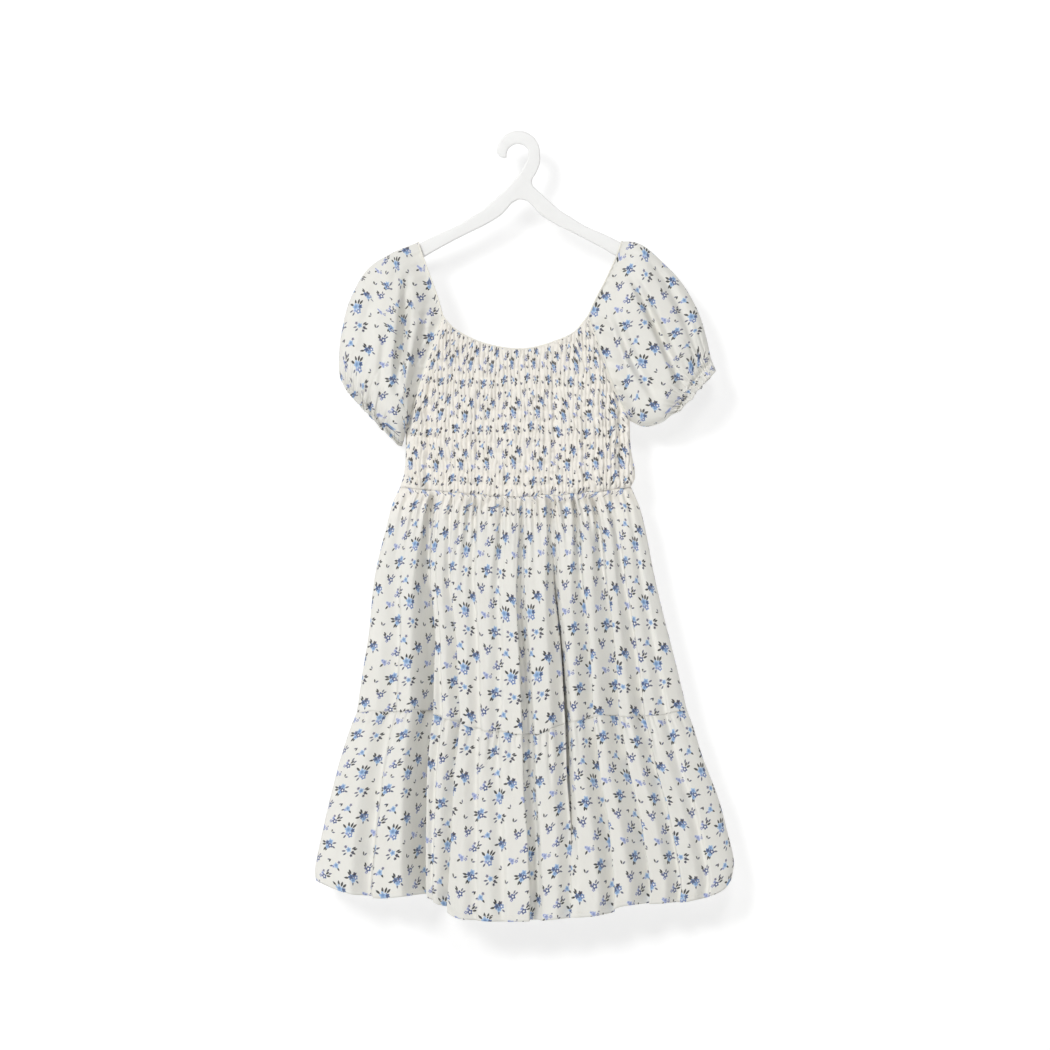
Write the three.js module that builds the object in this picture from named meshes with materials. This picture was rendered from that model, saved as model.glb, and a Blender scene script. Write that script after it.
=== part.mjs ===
import * as THREE from 'three';

// A child's shirred cotton dress with puff sleeves and a two-tier skirt, on a moulded hanger.
// Millimetres, +Z up. The dress faces -Y and its left side in the front view is at -X.
// The origin is the top of the hook's inside, where a rail carries it.

// Cloth
const WALL = 1.4;
const HALF_SEAM = 0.2;
const COTTON = 0xebe8e0;
const SHIRRED_COTTON = 0xeee5d2;

// Bodice: half its depth from front to back, and its relief
const BODICE_DEPTH = 15;
const NECK_DEPTH = 12;
const SHIRRING_ROWS = 14;
const SHIRRING_FLUTES = 18;
const PUFF_HEIGHT = 1.4;
const FLUTE_HEIGHT = 1;
const BACK_NECK_DROP = 3;

// Skirt: half its depth at the waist, at the seam between the tiers and at the hem
const WAIST_DEPTH = 15;
const TIER_DEPTH = 27;
const HEM_DEPTH = 33;
const GATHER_HEIGHT = 1.3;
const GATHER_LENGTH = 26;

// Sleeve: half its depth where it is fullest, at the elastic and at the frilled edge
const PUFF_DEPTH = 28;
const ELASTIC_DEPTH = 19;
const FRILL_DEPTH = 23;
const ELASTIC_AT = 0.93;
const CUFF_GATHER = 1.5;

// Hanger
const HANGER_THICKNESS = 8;
const HANGER_EDGE = 1;
const HANGER_CENTRE = 2;
const HOOK_OUTSIDE = { x: -0.8, z: -8.8, radius: 21.8 };
const HOOK_INSIDE = { x: -1, z: -11.5, radius: 11.5 };
const HANGER_PLASTIC = 0xeeedeb;

// Front view outlines, each row [x, z]
const FRONT_NECK = [
  [-76, -173],
  [-68, -182.5],
  [-52, -193],
  [-33, -200.5],
  [-5, -205.5],
  [13, -204.5],
  [37, -197.5],
  [55, -189],
  [69, -173],
];
const ARMHOLE_LEFT = [
  [-76, -173],
  [-86, -201],
  [-97, -236],
  [-106, -266],
  [-113.5, -288],
];
const ARMHOLE_RIGHT = [
  [69, -173],
  [79.5, -201],
  [91.5, -236],
  [103, -262],
  [111, -277],
];
const SIDE_LEFT = [
  [-113.5, -288],
  [-113.4, -304],
  [-114, -321],
  [-116, -333],
  [-119, -343],
];
const SIDE_RIGHT = [
  [111, -277],
  [112, -304],
  [116, -326],
  [116, -335],
  [112, -343],
];
const WAIST = [
  [-119, -343],
  [-75, -348.5],
  [-3, -352.5],
  [70, -348.5],
  [112, -343],
];
const SKIRT_LEFT = [
  [-119, -343],
  [-126.3, -359],
  [-132.5, -383],
  [-139, -408],
  [-145, -438],
  [-150, -489],
  [-155, -520],
  [-162, -568],
];
const SKIRT_RIGHT = [
  [112, -343],
  [120.6, -363],
  [126.7, -387],
  [135, -430],
  [145, -473],
  [153, -504],
  [159, -528],
  [168, -566],
];
const TIER_SEAM = [
  [-162, -568],
  [-99, -567],
  [-63, -578],
  [-19, -587],
  [11, -590],
  [43, -579],
  [81, -571],
  [121, -572],
  [168, -566],
];
const FLOUNCE_LEFT = [
  [-162, -568],
  [-167, -580],
  [-178.3, -614],
  [-188.5, -653],
  [-197, -690],
  [-204, -727],
  [-203, -736],
];
const FLOUNCE_RIGHT = [
  [168, -566],
  [174, -582],
  [184, -614],
  [199, -653],
  [208, -686],
  [215, -718],
  [213, -734],
];
const HEM = [
  [-203, -736],
  [-173, -747],
  [-141, -752],
  [-101, -750],
  [-80, -758],
  [-64, -770],
  [-34, -774],
  [16, -774],
  [50, -771],
  [81, -768],
  [101, -760],
  [140, -757],
  [170, -755],
  [203, -745],
  [213, -734],
];

// Sleeves, each path a list of rows [x, z]. The top runs from the neckline over the shoulder to the cuff,
// the bottom from the underarm to the cuff.
const SLEEVE_LEFT = {
  armhole: ARMHOLE_LEFT,
  neckEdge: [[-76, -173], [-83, -149], [-90, -130], [-95, -116], [-101, -98.4]],
  top: [
    [-101, -98.4],
    [-130, -110.5],
    [-152, -126],
    [-169, -156],
    [-177, -186],
    [-180, -214],
    [-179, -233],
    [-173, -246],
  ],
  bottom: [[-113.5, -288], [-114.8, -297], [-116.5, -306]],
  creases: [
    { from: [-111, -137], to: [-114, -170], end: [-121, -243], width: 15, depth: 7 },
    { from: [-140, -135], to: [-152, -180], end: [-155, -225], width: 13, depth: 4 },
  ],
};
const SLEEVE_RIGHT = {
  armhole: ARMHOLE_RIGHT,
  neckEdge: [[69, -173], [77, -155], [86, -138], [96, -116], [103, -97.6]],
  top: [
    [103, -97.6],
    [112, -97.5],
    [124, -101.5],
    [144, -118.5],
    [163, -139],
    [180, -169.5],
    [188, -196],
    [192, -214],
    [197, -227],
  ],
  bottom: [[111, -277], [125, -284], [143, -281.5], [157, -271]],
  creases: [
    { from: [114, -132], to: [134, -176], end: [163, -243], width: 15, depth: 7 },
    { from: [98, -170], to: [110, -205], end: [135, -250], width: 13, depth: 4 },
  ],
};

// Folds of the skirt: where each runs across the width (0 at the left edge, 1 at the right) at the waist,
// the seam between the tiers and the hem, how deep it is at the seam and the hem, and half its width.
const FRONT_FOLDS = [
  { waist: 0.05, tier: 0.09, hem: 0.11, tierDepth: 3, hemDepth: 5, width: 12 },
  { waist: 0.15, tier: 0.195, hem: 0.235, tierDepth: 11, hemDepth: 13, width: 15 },
  { waist: 0.23, tier: 0.297, hem: 0.305, tierDepth: 6, hemDepth: 7, width: 10 },
  { waist: 0.335, tier: 0.36, hem: 0.38, tierDepth: 3.5, hemDepth: 4, width: 11 },
  { waist: 0.443, tier: 0.42, hem: 0.445, tierDepth: 3.5, hemDepth: 4.5, width: 11 },
  { waist: 0.522, tier: 0.518, hem: 0.526, tierDepth: 9, hemDepth: 10, width: 11 },
  { waist: 0.64, tier: 0.615, hem: 0.59, tierDepth: 10, hemDepth: 7, width: 12 },
  { waist: 0.75, tier: 0.695, hem: 0.688, tierDepth: 4, hemDepth: 7, width: 13 },
  { waist: 0.835, tier: 0.766, hem: 0.768, tierDepth: 8, hemDepth: 12, width: 16 },
  { waist: 0.905, tier: 0.85, hem: 0.845, tierDepth: 6, hemDepth: 6, width: 12 },
  { waist: 0.96, tier: 0.925, hem: 0.915, tierDepth: 4, hemDepth: 7, width: 11 },
];
const BACK_FOLDS = [
  { waist: 0.06, tier: 0.08, hem: 0.1, tierDepth: 4, hemDepth: 6, width: 12 },
  { waist: 0.16, tier: 0.17, hem: 0.19, tierDepth: 7, hemDepth: 9, width: 14 },
  { waist: 0.25, tier: 0.27, hem: 0.28, tierDepth: 5, hemDepth: 6, width: 12 },
  { waist: 0.34, tier: 0.36, hem: 0.355, tierDepth: 8, hemDepth: 11, width: 13 },
  { waist: 0.43, tier: 0.44, hem: 0.44, tierDepth: 4, hemDepth: 5, width: 11 },
  { waist: 0.52, tier: 0.53, hem: 0.545, tierDepth: 7, hemDepth: 10, width: 14 },
  { waist: 0.62, tier: 0.62, hem: 0.63, tierDepth: 6, hemDepth: 7, width: 12 },
  { waist: 0.71, tier: 0.7, hem: 0.705, tierDepth: 4, hemDepth: 6, width: 12 },
  { waist: 0.8, tier: 0.785, hem: 0.79, tierDepth: 9, hemDepth: 12, width: 15 },
  { waist: 0.88, tier: 0.87, hem: 0.87, tierDepth: 5, hemDepth: 6, width: 12 },
  { waist: 0.95, tier: 0.935, hem: 0.925, tierDepth: 4, hemDepth: 6, width: 11 },
];

// Hanger in the front view, each row [x, z]: the hook's tip and both edges of the stem
const HOOK_TIP = [
  [-12.4, -13.4],
  [-15.5, -13.4],
  [-19.5, -11.6],
];
const STEM_RIGHT = [
  [20.9, -19],
  [17, -29],
  [13.4, -35],
  [13.4, -41],
];
const STEM_LEFT = [
  [-7, -38.5],
  [1.5, -28],
  [7, -18],
];

// Upper edge and lower edge of one hanger arm, each row [distance from the centre, z]
const ARM_TOP = [
  [16, -46],
  [27, -56],
  [39, -66.5],
  [51, -74],
  [64, -82],
  [82, -90],
  [97, -97.3],
  [103, -101],
  [110, -104.8],
  [128, -114],
  [137, -120.5],
  [141, -127],
];
const ARM_BOTTOM = [
  [140, -134],
  [133, -135],
  [115, -125],
  [95, -113],
  [70, -99],
  [51, -87],
  [38, -84],
  [20, -71],
  [8, -58.5],
];

const mix = (a, b, t) => a + (b - a) * t;
const clamp = (value, low, high) => Math.min(high, Math.max(low, value));
const smooth = (t) => {
  const c = clamp(t, 0, 1);
  return c * c * (3 - 2 * c);
};
const bump = (t) => (Math.abs(t) < 1 ? Math.cos((Math.PI * t) / 2) ** 2 : 0);

// A smooth curve through rows [x, z], as a function of the share of its length
function curveThrough(rows) {
  const points = rows.map(([x, z]) => new THREE.Vector3(x, 0, z));
  const curve = new THREE.CatmullRomCurve3(points, false, 'centripetal');
  curve.arcLengthDivisions = 400;
  return (t) => {
    const point = curve.getPointAt(clamp(t, 0, 1));
    return [point.x, point.z];
  };
}

// The curve made of two others end to end, the first taking the given share
function joined(first, second, share) {
  return (t) => (t < share ? first(t / share) : second((t - share) / (1 - share)));
}

const reversed = (curve) => (t) => curve(1 - t);

// A patch in the front view between four curves: across runs from left to right, down from top to bottom
function coonsPatch(top, bottom, left, right) {
  const corners = [top(0), top(1), bottom(0), bottom(1)];
  return (across, down) =>
    [0, 1].map((axis) => {
      const betweenEnds = mix(top(across)[axis], bottom(across)[axis], down);
      const betweenSides = mix(left(down)[axis], right(down)[axis], across);
      const atCorners = mix(
        mix(corners[0][axis], corners[1][axis], across),
        mix(corners[2][axis], corners[3][axis], across),
        down,
      );
      return betweenEnds + betweenSides - atCorners;
    });
}

// The rounded cross-section of a flat tube: 0 at its two edges, 1 in the middle
function roundSection(across) {
  const offset = Math.abs(2 * across - 1);
  return (1 - offset ** 2.6) ** (1 / 2.3);
}

// A closed solid from triangles over a list of points
function solid(points, triangles, name, color, roughness) {
  const geometry = new THREE.BufferGeometry();
  geometry.setAttribute('position', new THREE.Float32BufferAttribute(points.flat(), 3));
  geometry.setIndex(triangles.flat());
  geometry.computeVertexNormals();
  const material = new THREE.MeshStandardMaterial({ color, roughness, metalness: 0 });
  const mesh = new THREE.Mesh(geometry, material);
  mesh.name = name;
  return mesh;
}

// Rows of points joined by triangles. With closed true each row is a ring.
function sheetTriangles(rows, columns, first, closed, flipped) {
  const triangles = [];
  const stride = closed ? columns : columns + 1;
  for (let row = 0; row < rows; row += 1) {
    for (let column = 0; column < columns; column += 1) {
      const next = closed ? (column + 1) % columns : column + 1;
      const a = first + row * stride + column;
      const b = first + row * stride + next;
      const c = first + (row + 1) * stride + next;
      const d = first + (row + 1) * stride + column;
      if (flipped) triangles.push([a, c, b], [a, d, c]);
      else triangles.push([a, b, c], [a, c, d]);
    }
  }
  return triangles;
}

// The strip between two rims that start and end side by side but may hold different numbers of points
function rimTriangles(outer, inner) {
  const triangles = [];
  let i = 0;
  let j = 0;
  while (i < outer.length - 1 || j < inner.length - 1) {
    const outerShare = (i + 1) / (outer.length - 1);
    const innerShare = (j + 1) / (inner.length - 1);
    if (j >= inner.length - 1 || (i < outer.length - 1 && outerShare <= innerShare)) {
      triangles.push([outer[i], inner[j], outer[i + 1]]);
      i += 1;
    } else {
      triangles.push([outer[i], inner[j], inner[j + 1]]);
      j += 1;
    }
  }
  return triangles;
}

// Indices along the four sides of a grid, running round it: top, right, bottom, left
function gridSides(rows, columns, first) {
  const at = (row, column) => first + row * (columns + 1) + column;
  const top = [];
  const right = [];
  const bottom = [];
  const left = [];
  for (let column = 0; column <= columns; column += 1) {
    top.push(at(0, column));
    bottom.unshift(at(rows, column));
  }
  for (let row = 0; row <= rows; row += 1) {
    right.push(at(row, columns));
    left.unshift(at(row, 0));
  }
  return [top, right, bottom, left];
}

// A panel: an outer grid and an inner grid that may be coarser, joined along the four sides.
// Grids are lists of rows from the top, each from left to right seen from outside.
function panelSolid(outer, inner, name, color) {
  const outerRows = outer.length - 1;
  const outerColumns = outer[0].length - 1;
  const innerRows = inner.length - 1;
  const innerColumns = inner[0].length - 1;
  const innerFirst = (outerRows + 1) * (outerColumns + 1);
  const triangles = [
    ...sheetTriangles(outerRows, outerColumns, 0, false, true),
    ...sheetTriangles(innerRows, innerColumns, innerFirst, false, false),
  ];
  const outerSides = gridSides(outerRows, outerColumns, 0);
  const innerSides = gridSides(innerRows, innerColumns, innerFirst);
  for (let side = 0; side < 4; side += 1) {
    triangles.push(...rimTriangles(outerSides[side], innerSides[side]).map(([a, b, c]) => [a, c, b]));
  }
  return solid([...outer.flat(), ...inner.flat()], triangles, name, color, 0.9);
}

// The unit normal in plan, pointing outwards, at each point of a row that runs left to right
// along the front (side -1) or the back (side 1). The two ends point straight out sideways where
// endsFlat is 0, as on a folded side, and straight forwards or back where it is 1.
function planNormals(row, side, endsFlat = 0) {
  const last = row.length - 1;
  const atEnd = new THREE.Vector2(1 - endsFlat, endsFlat).normalize();
  return row.map((point, index) => {
    if (index === 0) return [-atEnd.x, side * atEnd.y, 0];
    if (index === last) return [atEnd.x, side * atEnd.y, 0];
    const before = row[index - 1];
    const after = row[index + 1];
    const one = new THREE.Vector2(point[0] - before[0], point[1] - before[1]).normalize();
    const two = new THREE.Vector2(after[0] - point[0], after[1] - point[1]).normalize();
    const along = one.add(two).normalize();
    return [-side * along.y, side * along.x, 0];
  });
}

function moved(point, direction, distance) {
  return point.map((value, axis) => value + direction[axis] * distance);
}

// Seen from outside a back panel runs the other way, so its rows are turned round
const facing = (grid, side) => (side < 0 ? grid : grid.map((row) => [...row].reverse()));

// How deep the armhole seam lies in front of the middle, by its share from the neckline to the underarm
function armholeDepth(share) {
  return HALF_SEAM + 10.2 * Math.sqrt(Math.max(0, 1 - share ** 3));
}

// The share of each side of the bodice, from the neckline down, that is armhole
const ARMHOLE_SHARE = { left: 0.68, right: 0.62 };

// Bodice: [x, y, z] at a share across from left to right and down from the neckline to the waist
function bodiceSurface(side) {
  const drop = side > 0 ? BACK_NECK_DROP : 0;
  const scoop = curveThrough(FRONT_NECK);
  const neck = (t) => {
    const [x, z] = scoop(t);
    return [x, z - drop * Math.sin(Math.PI * t)];
  };
  const left = joined(curveThrough(ARMHOLE_LEFT), curveThrough(SIDE_LEFT), ARMHOLE_SHARE.left);
  const right = joined(curveThrough(ARMHOLE_RIGHT), curveThrough(SIDE_RIGHT), ARMHOLE_SHARE.right);
  const patch = coonsPatch(neck, curveThrough(WAIST), left, right);
  return (across, down) => {
    const [x, z] = patch(across, down);
    const armholeShare = mix(down / ARMHOLE_SHARE.left, down / ARMHOLE_SHARE.right, across);
    const edge = armholeDepth(Math.min(1, armholeShare));
    const full = mix(NECK_DEPTH, BODICE_DEPTH, smooth(down * 3));
    const depth = mix(edge, full, roundSection(across));
    const seam = mix(HALF_SEAM, -HALF_SEAM, across);
    return [x + seam, side * depth, z + (down === 1 ? HALF_SEAM : 0)];
  };
}

// Even steps across the width, drawn closer together towards both edges
function acrossAt(step, steps) {
  const t = step / steps;
  return mix(t, 0.5 - 0.5 * Math.cos(Math.PI * t), 0.65);
}

function bodiceGrid(side, rows, columns) {
  const surface = bodiceSurface(side);
  const grid = [];
  for (let row = 0; row <= rows; row += 1) {
    const points = [];
    for (let column = 0; column <= columns; column += 1) {
      points.push(surface(acrossAt(column, columns), row / rows));
    }
    const left = armholeDepth(Math.min(1, row / rows / ARMHOLE_SHARE.left));
    grid.push({ points, normals: planNormals(points, side, left / armholeDepth(0)) });
  }
  return grid;
}

// The outside is shirred: a groove along each row of elastic, puffs between, and upright flutes.
// The inside is plain.
function bodicePanel(side, name) {
  const rows = SHIRRING_ROWS * 2;
  const columns = SHIRRING_FLUTES * 2;
  const outer = bodiceGrid(side, rows, columns).map(({ points, normals }, row) =>
    points.map((point, column) => {
      const onEdge = column === 0 || column === columns || row === 0 || row === rows;
      const puff = row % 2 ? PUFF_HEIGHT : 0;
      const flute = column % 2 ? FLUTE_HEIGHT : 0;
      return onEdge ? point : moved(point, normals[column], puff + flute);
    }),
  );
  const inner = bodiceGrid(side, rows / 4, columns / 3).map(({ points, normals }) =>
    points.map((point, column) => moved(point, normals[column], -WALL)),
  );
  return panelSolid(facing(outer, side), facing(inner, side), name, SHIRRED_COTTON);
}

// Skirt: columns of the grid follow the folds, so each row of the list below is one column line with
// its place across the width at the waist, the seam between the tiers and the hem.
function foldLines(folds) {
  const half = (fold, width) => (0.55 * fold.width) / width;
  const lines = [0, 0.012, 0.035].map((at) => ({ waist: at, tier: at, hem: at }));
  folds.forEach((fold, index) => {
    lines.push({
      waist: fold.waist - half(fold, 400),
      tier: fold.tier - half(fold, 330),
      hem: fold.hem - half(fold, 416),
    });
    lines.push({ waist: fold.waist, tier: fold.tier, hem: fold.hem });
    lines.push({
      waist: fold.waist + half(fold, 400),
      tier: fold.tier + half(fold, 330),
      hem: fold.hem + half(fold, 416),
    });
    const next = folds[index + 1];
    if (next) {
      lines.push({
        waist: (fold.waist + next.waist) / 2,
        tier: (fold.tier + next.tier) / 2,
        hem: (fold.hem + next.hem) / 2,
      });
    }
  });
  [0.972, 0.99, 1].forEach((at) => lines.push({ waist: at, tier: at, hem: at }));
  return lines;
}

// The place across the width of anything given at the waist, the tier seam and the hem.
// level is 0 at the waist, 1 at the tier seam and 2 at the hem.
function placeAt(line, level) {
  return level < 1 ? mix(line.waist, line.tier, level) : mix(line.tier, line.hem, level - 1);
}

function foldDepthAt(fold, level) {
  const upper = fold.tierDepth * smooth(level * 1.15);
  return level < 1 ? upper : mix(fold.tierDepth, fold.hemDepth, smooth(level - 1));
}

const skirtPatch = coonsPatch(
  curveThrough(WAIST),
  curveThrough(TIER_SEAM),
  curveThrough(SKIRT_LEFT),
  curveThrough(SKIRT_RIGHT),
);
const flouncePatch = coonsPatch(
  curveThrough(TIER_SEAM),
  curveThrough(HEM),
  curveThrough(FLOUNCE_LEFT),
  curveThrough(FLOUNCE_RIGHT),
);

function skirtPoint(side, folds, across, level) {
  const patch = level <= 1 ? skirtPatch : flouncePatch;
  const down = level <= 1 ? level : level - 1;
  const [x, z] = patch(across, down);
  const depth = level <= 1 ? mix(WAIST_DEPTH, TIER_DEPTH, level ** 0.8) : mix(TIER_DEPTH, HEM_DEPTH, down);
  const width = level <= 1 ? mix(230, 330, down) : mix(330, 416, down);
  let inward = 0;
  folds.forEach((fold) => {
    const offset = (across - placeAt(fold, level)) * width;
    inward += foldDepthAt(fold, level) * bump(offset / fold.width);
  });
  const section = roundSection(across);
  const y = HALF_SEAM + section * (depth - inward);
  return [x, side * y, z];
}

function skirtTier(side, folds, levels, name) {
  const lines = foldLines(folds);
  const first = levels[0];
  const last = levels[levels.length - 1];
  const outer = levels.map((level) => {
    const row = lines.map((line) => skirtPoint(side, folds, placeAt(line, level), level));
    const normals = planNormals(row, side);
    const fallen = (level - first) * 190;
    const gather = GATHER_HEIGHT * Math.min(1, fallen / 6) * Math.exp(-fallen / GATHER_LENGTH);
    return row.map((point, column) => {
      const onEdge = column < 2 || column > lines.length - 3;
      const shift = onEdge ? 0 : gather * (column % 2 ? 1 : -1);
      const raised = moved(point, normals[column], shift);
      if (level === first) raised[2] -= HALF_SEAM;
      if (level === last && last === 1) raised[2] += HALF_SEAM;
      return raised;
    });
  });
  const inner = outer.map((row) => {
    const normals = planNormals(row, side);
    return row.map((point, column) => moved(point, normals[column], -WALL));
  });
  return panelSolid(facing(outer, side), facing(inner, side), name, COTTON);
}

// How far a sleeve's crease dents the point [x, z] inwards
function creaseDepth(crease, x, z) {
  const path = curveThrough([crease.from, crease.to, crease.end]);
  let depth = 0;
  for (let step = 0; step <= 12; step += 1) {
    const [px, pz] = path(step / 12);
    const away = Math.hypot(x - px, z - pz);
    const alongDepth = crease.depth * Math.sin(Math.PI * mix(0.12, 0.88, step / 12));
    depth = Math.max(depth, alongDepth * bump(away / crease.width));
  }
  return depth;
}

// How far the sleeve's inner end stands in front of the middle, by the share round from the underarm
// to the shoulder: the armhole seam, then the neck edge, which wraps the hanger's arm at the top
const INNER_END_DEPTH = [
  [0, 0],
  [0.03, 3.6],
  [0.1, 6.4],
  [0.25, 9],
  [0.616, 10.4],
  [0.8, 8.6],
  [0.95, 7],
  [0.995, 6.2],
  [1, 0],
];

function tableValue(rows, at) {
  const index = Math.max(1, rows.findIndex(([key]) => key >= at));
  const [lowKey, low] = rows[index - 1];
  const [highKey, high] = rows[index];
  return mix(low, high, (at - lowKey) / (highKey - lowKey));
}

// Where a sleeve's grid has its columns, round from the underarm to the shoulder, and its rings,
// along from the inner end to the frilled edge
const ARMHOLE_ROUND = 0.616;
const SLEEVE_ROUND = [
  0, 0.03, 0.09, 0.16, 0.24, 0.32, 0.4, 0.48, 0.55, ARMHOLE_ROUND, 0.68, 0.75, 0.82, 0.89, 0.95, 0.995, 1,
];
const SLEEVE_ALONG = [0, 0.05, 0.12, 0.22, 0.35, 0.49, 0.63, 0.76, 0.86, ELASTIC_AT, 1];

// A sleeve: rings from its inner end to the frilled edge, each running from the underarm up the front,
// over the shoulder and down the back. hand is -1 for the sleeve at -X and 1 for the other.
function sleeve(shape, hand, name) {
  const inner = joined(reversed(curveThrough(shape.armhole)), curveThrough(shape.neckEdge), ARMHOLE_ROUND);
  const topRows = shape.top;
  const bottomRows = shape.bottom;
  const cuffTop = topRows[topRows.length - 1];
  const cuffBottom = bottomRows[bottomRows.length - 1];
  const cuff = (t) => [mix(cuffBottom[0], cuffTop[0], t), mix(cuffBottom[1], cuffTop[1], t)];
  const patch = coonsPatch(curveThrough(bottomRows), curveThrough(topRows), inner, cuff);
  const place = (along, round, side) => {
    const [x, z] = patch(along, round);
    const swell = smooth(along / 0.3);
    const cuffward = smooth((along - 0.55) / (ELASTIC_AT - 0.55));
    const beyond = Math.max(0, (along - ELASTIC_AT) / (1 - ELASTIC_AT));
    const full = mix(mix(PUFF_DEPTH, ELASTIC_DEPTH, cuffward), FRILL_DEPTH, beyond);
    const dent = shape.creases.reduce((sum, crease) => sum + creaseDepth(crease, x, z), 0);
    const section = roundSection(round);
    const depth = mix(tableValue(INNER_END_DEPTH, round), full * section, swell) - dent * section * swell;
    const clear = along === 0 && round <= ARMHOLE_ROUND ? hand * HALF_SEAM : 0;
    return new THREE.Vector3(x + clear, side * depth, z);
  };
  const rounds = [];
  SLEEVE_ROUND.forEach((round) => rounds.push([round, -1]));
  [...SLEEVE_ROUND].reverse().slice(1, -1).forEach((round) => rounds.push([round, 1]));
  const columns = rounds.length;
  const rings = SLEEVE_ALONG.map((along) => rounds.map(([round, side]) => place(along, round, side)));

  const normalAt = (row, column) => {
    const before = rings[Math.max(0, row - 1)][column];
    const after = rings[Math.min(rings.length - 1, row + 1)][column];
    const left = rings[row][(column + columns - 1) % columns];
    const right = rings[row][(column + 1) % columns];
    const along = after.clone().sub(before);
    const round = right.clone().sub(left);
    return round.cross(along).normalize().multiplyScalar(-hand);
  };
  const outer = rings.map((ring, row) => {
    const along = SLEEVE_ALONG[row];
    const nearCuff = CUFF_GATHER * smooth((along - 0.5) / 0.3);
    const nearSeam = row > 0 ? 0.8 * smooth((0.3 - along) / 0.2) : 0;
    return ring.map((point, column) => {
      const flute = column % 2 ? 1 : -1;
      return point.clone().addScaledVector(normalAt(row, column), flute * (nearCuff + nearSeam) * 0.5);
    });
  });
  const lining = outer.map((ring, row) =>
    ring.map((point, column) => point.clone().addScaledVector(normalAt(row, column), -WALL)),
  );
  const count = rings.length * columns;
  const points = [...outer.flat(), ...lining.flat()].map((point) => point.toArray());
  const flipped = hand < 0;
  const triangles = [
    ...sheetTriangles(rings.length - 1, columns, 0, true, !flipped),
    ...sheetTriangles(rings.length - 1, columns, count, true, flipped),
  ];
  for (let column = 0; column < columns; column += 1) {
    const next = (column + 1) % columns;
    const last = (rings.length - 1) * columns;
    const start = [column, next, count + next, count + column];
    const end = [last + next, last + column, count + last + column, count + last + next];
    [start, end].forEach(([a, b, c, d]) => {
      if (flipped) triangles.push([a, c, b], [a, d, c]);
      else triangles.push([a, b, c], [a, c, d]);
    });
  }
  return solid(points, triangles, name, COTTON, 0.9);
}

// Hanger: one outline in the front view, clockwise from the hook's tip over its top, down the stem,
// out along the right arm and back under it, and the same on the left
function hanger() {
  const arc = (circle, fromDegrees, toDegrees, steps) =>
    Array.from({ length: steps + 1 }, (_, step) => {
      const angle = THREE.MathUtils.degToRad(mix(fromDegrees, toDegrees, step / steps));
      return [circle.x + circle.radius * Math.cos(angle), circle.z + circle.radius * Math.sin(angle)];
    });
  const rightArm = (rows) => rows.map(([distance, z]) => [HANGER_CENTRE + distance, z]);
  const leftArm = (rows) => rows.map(([distance, z]) => [HANGER_CENTRE - distance, z]).reverse();
  const outline = [
    ...HOOK_TIP,
    ...arc(HOOK_OUTSIDE, 175, 0, 12),
    ...STEM_RIGHT,
    ...rightArm(ARM_TOP),
    ...rightArm(ARM_BOTTOM),
    [HANGER_CENTRE, -55.5],
    ...leftArm(ARM_BOTTOM),
    ...leftArm(ARM_TOP),
    ...STEM_LEFT,
    ...arc(HOOK_INSIDE, 25, 185, 10),
  ];
  const inset = outline.map(([x, z], index) => {
    const before = outline[(index + outline.length - 1) % outline.length];
    const after = outline[(index + 1) % outline.length];
    const one = new THREE.Vector2(x - before[0], z - before[1]).normalize();
    const two = new THREE.Vector2(after[0] - x, after[1] - z).normalize();
    const along = one.add(two).normalize();
    return [x + along.y * HANGER_EDGE, z - along.x * HANGER_EDGE];
  });
  const half = HANGER_THICKNESS / 2;
  const layers = [
    { rim: inset, y: -half },
    { rim: outline, y: -half + HANGER_EDGE },
    { rim: outline, y: half - HANGER_EDGE },
    { rim: inset, y: half },
  ];
  const points = layers.flatMap(({ rim, y }) => rim.map(([x, z]) => [x, y, z]));
  const count = outline.length;
  const triangles = sheetTriangles(3, count, 0, true, false);
  const flat = inset.map(([x, z]) => new THREE.Vector2(x, z));
  THREE.ShapeUtils.triangulateShape(flat, []).forEach(([a, b, c]) => {
    const corner = [flat[a], flat[b], flat[c]];
    const face = THREE.ShapeUtils.area(corner) > 0 ? [a, b, c] : [a, c, b];
    triangles.push(face, [face[0] + 3 * count, face[2] + 3 * count, face[1] + 3 * count]);
  });
  return solid(points, triangles, 'hanger', HANGER_PLASTIC, 0.45);
}

const group = new THREE.Group();
group.name = 'dress_on_hanger';

const UPPER_LEVELS = [0, 0.032, 0.12, 0.25, 0.4, 0.55, 0.7, 0.85, 1];
const LOWER_LEVELS = [1, 1.035, 1.14, 1.32, 1.55, 1.78, 2];

group.add(bodicePanel(-1, 'bodice_front'));
group.add(bodicePanel(1, 'bodice_back'));
group.add(skirtTier(-1, FRONT_FOLDS, UPPER_LEVELS, 'skirt_front'));
group.add(skirtTier(1, BACK_FOLDS, UPPER_LEVELS, 'skirt_back'));
group.add(skirtTier(-1, FRONT_FOLDS, LOWER_LEVELS, 'flounce_front'));
group.add(skirtTier(1, BACK_FOLDS, LOWER_LEVELS, 'flounce_back'));
group.add(sleeve(SLEEVE_LEFT, -1, 'sleeve_left'));
group.add(sleeve(SLEEVE_RIGHT, 1, 'sleeve_right'));
group.add(hanger());

export default group;
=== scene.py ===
"""A child's shirred cotton dress with puff sleeves and a two-tier skirt, on a white plastic hanger."""

import math

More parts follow.
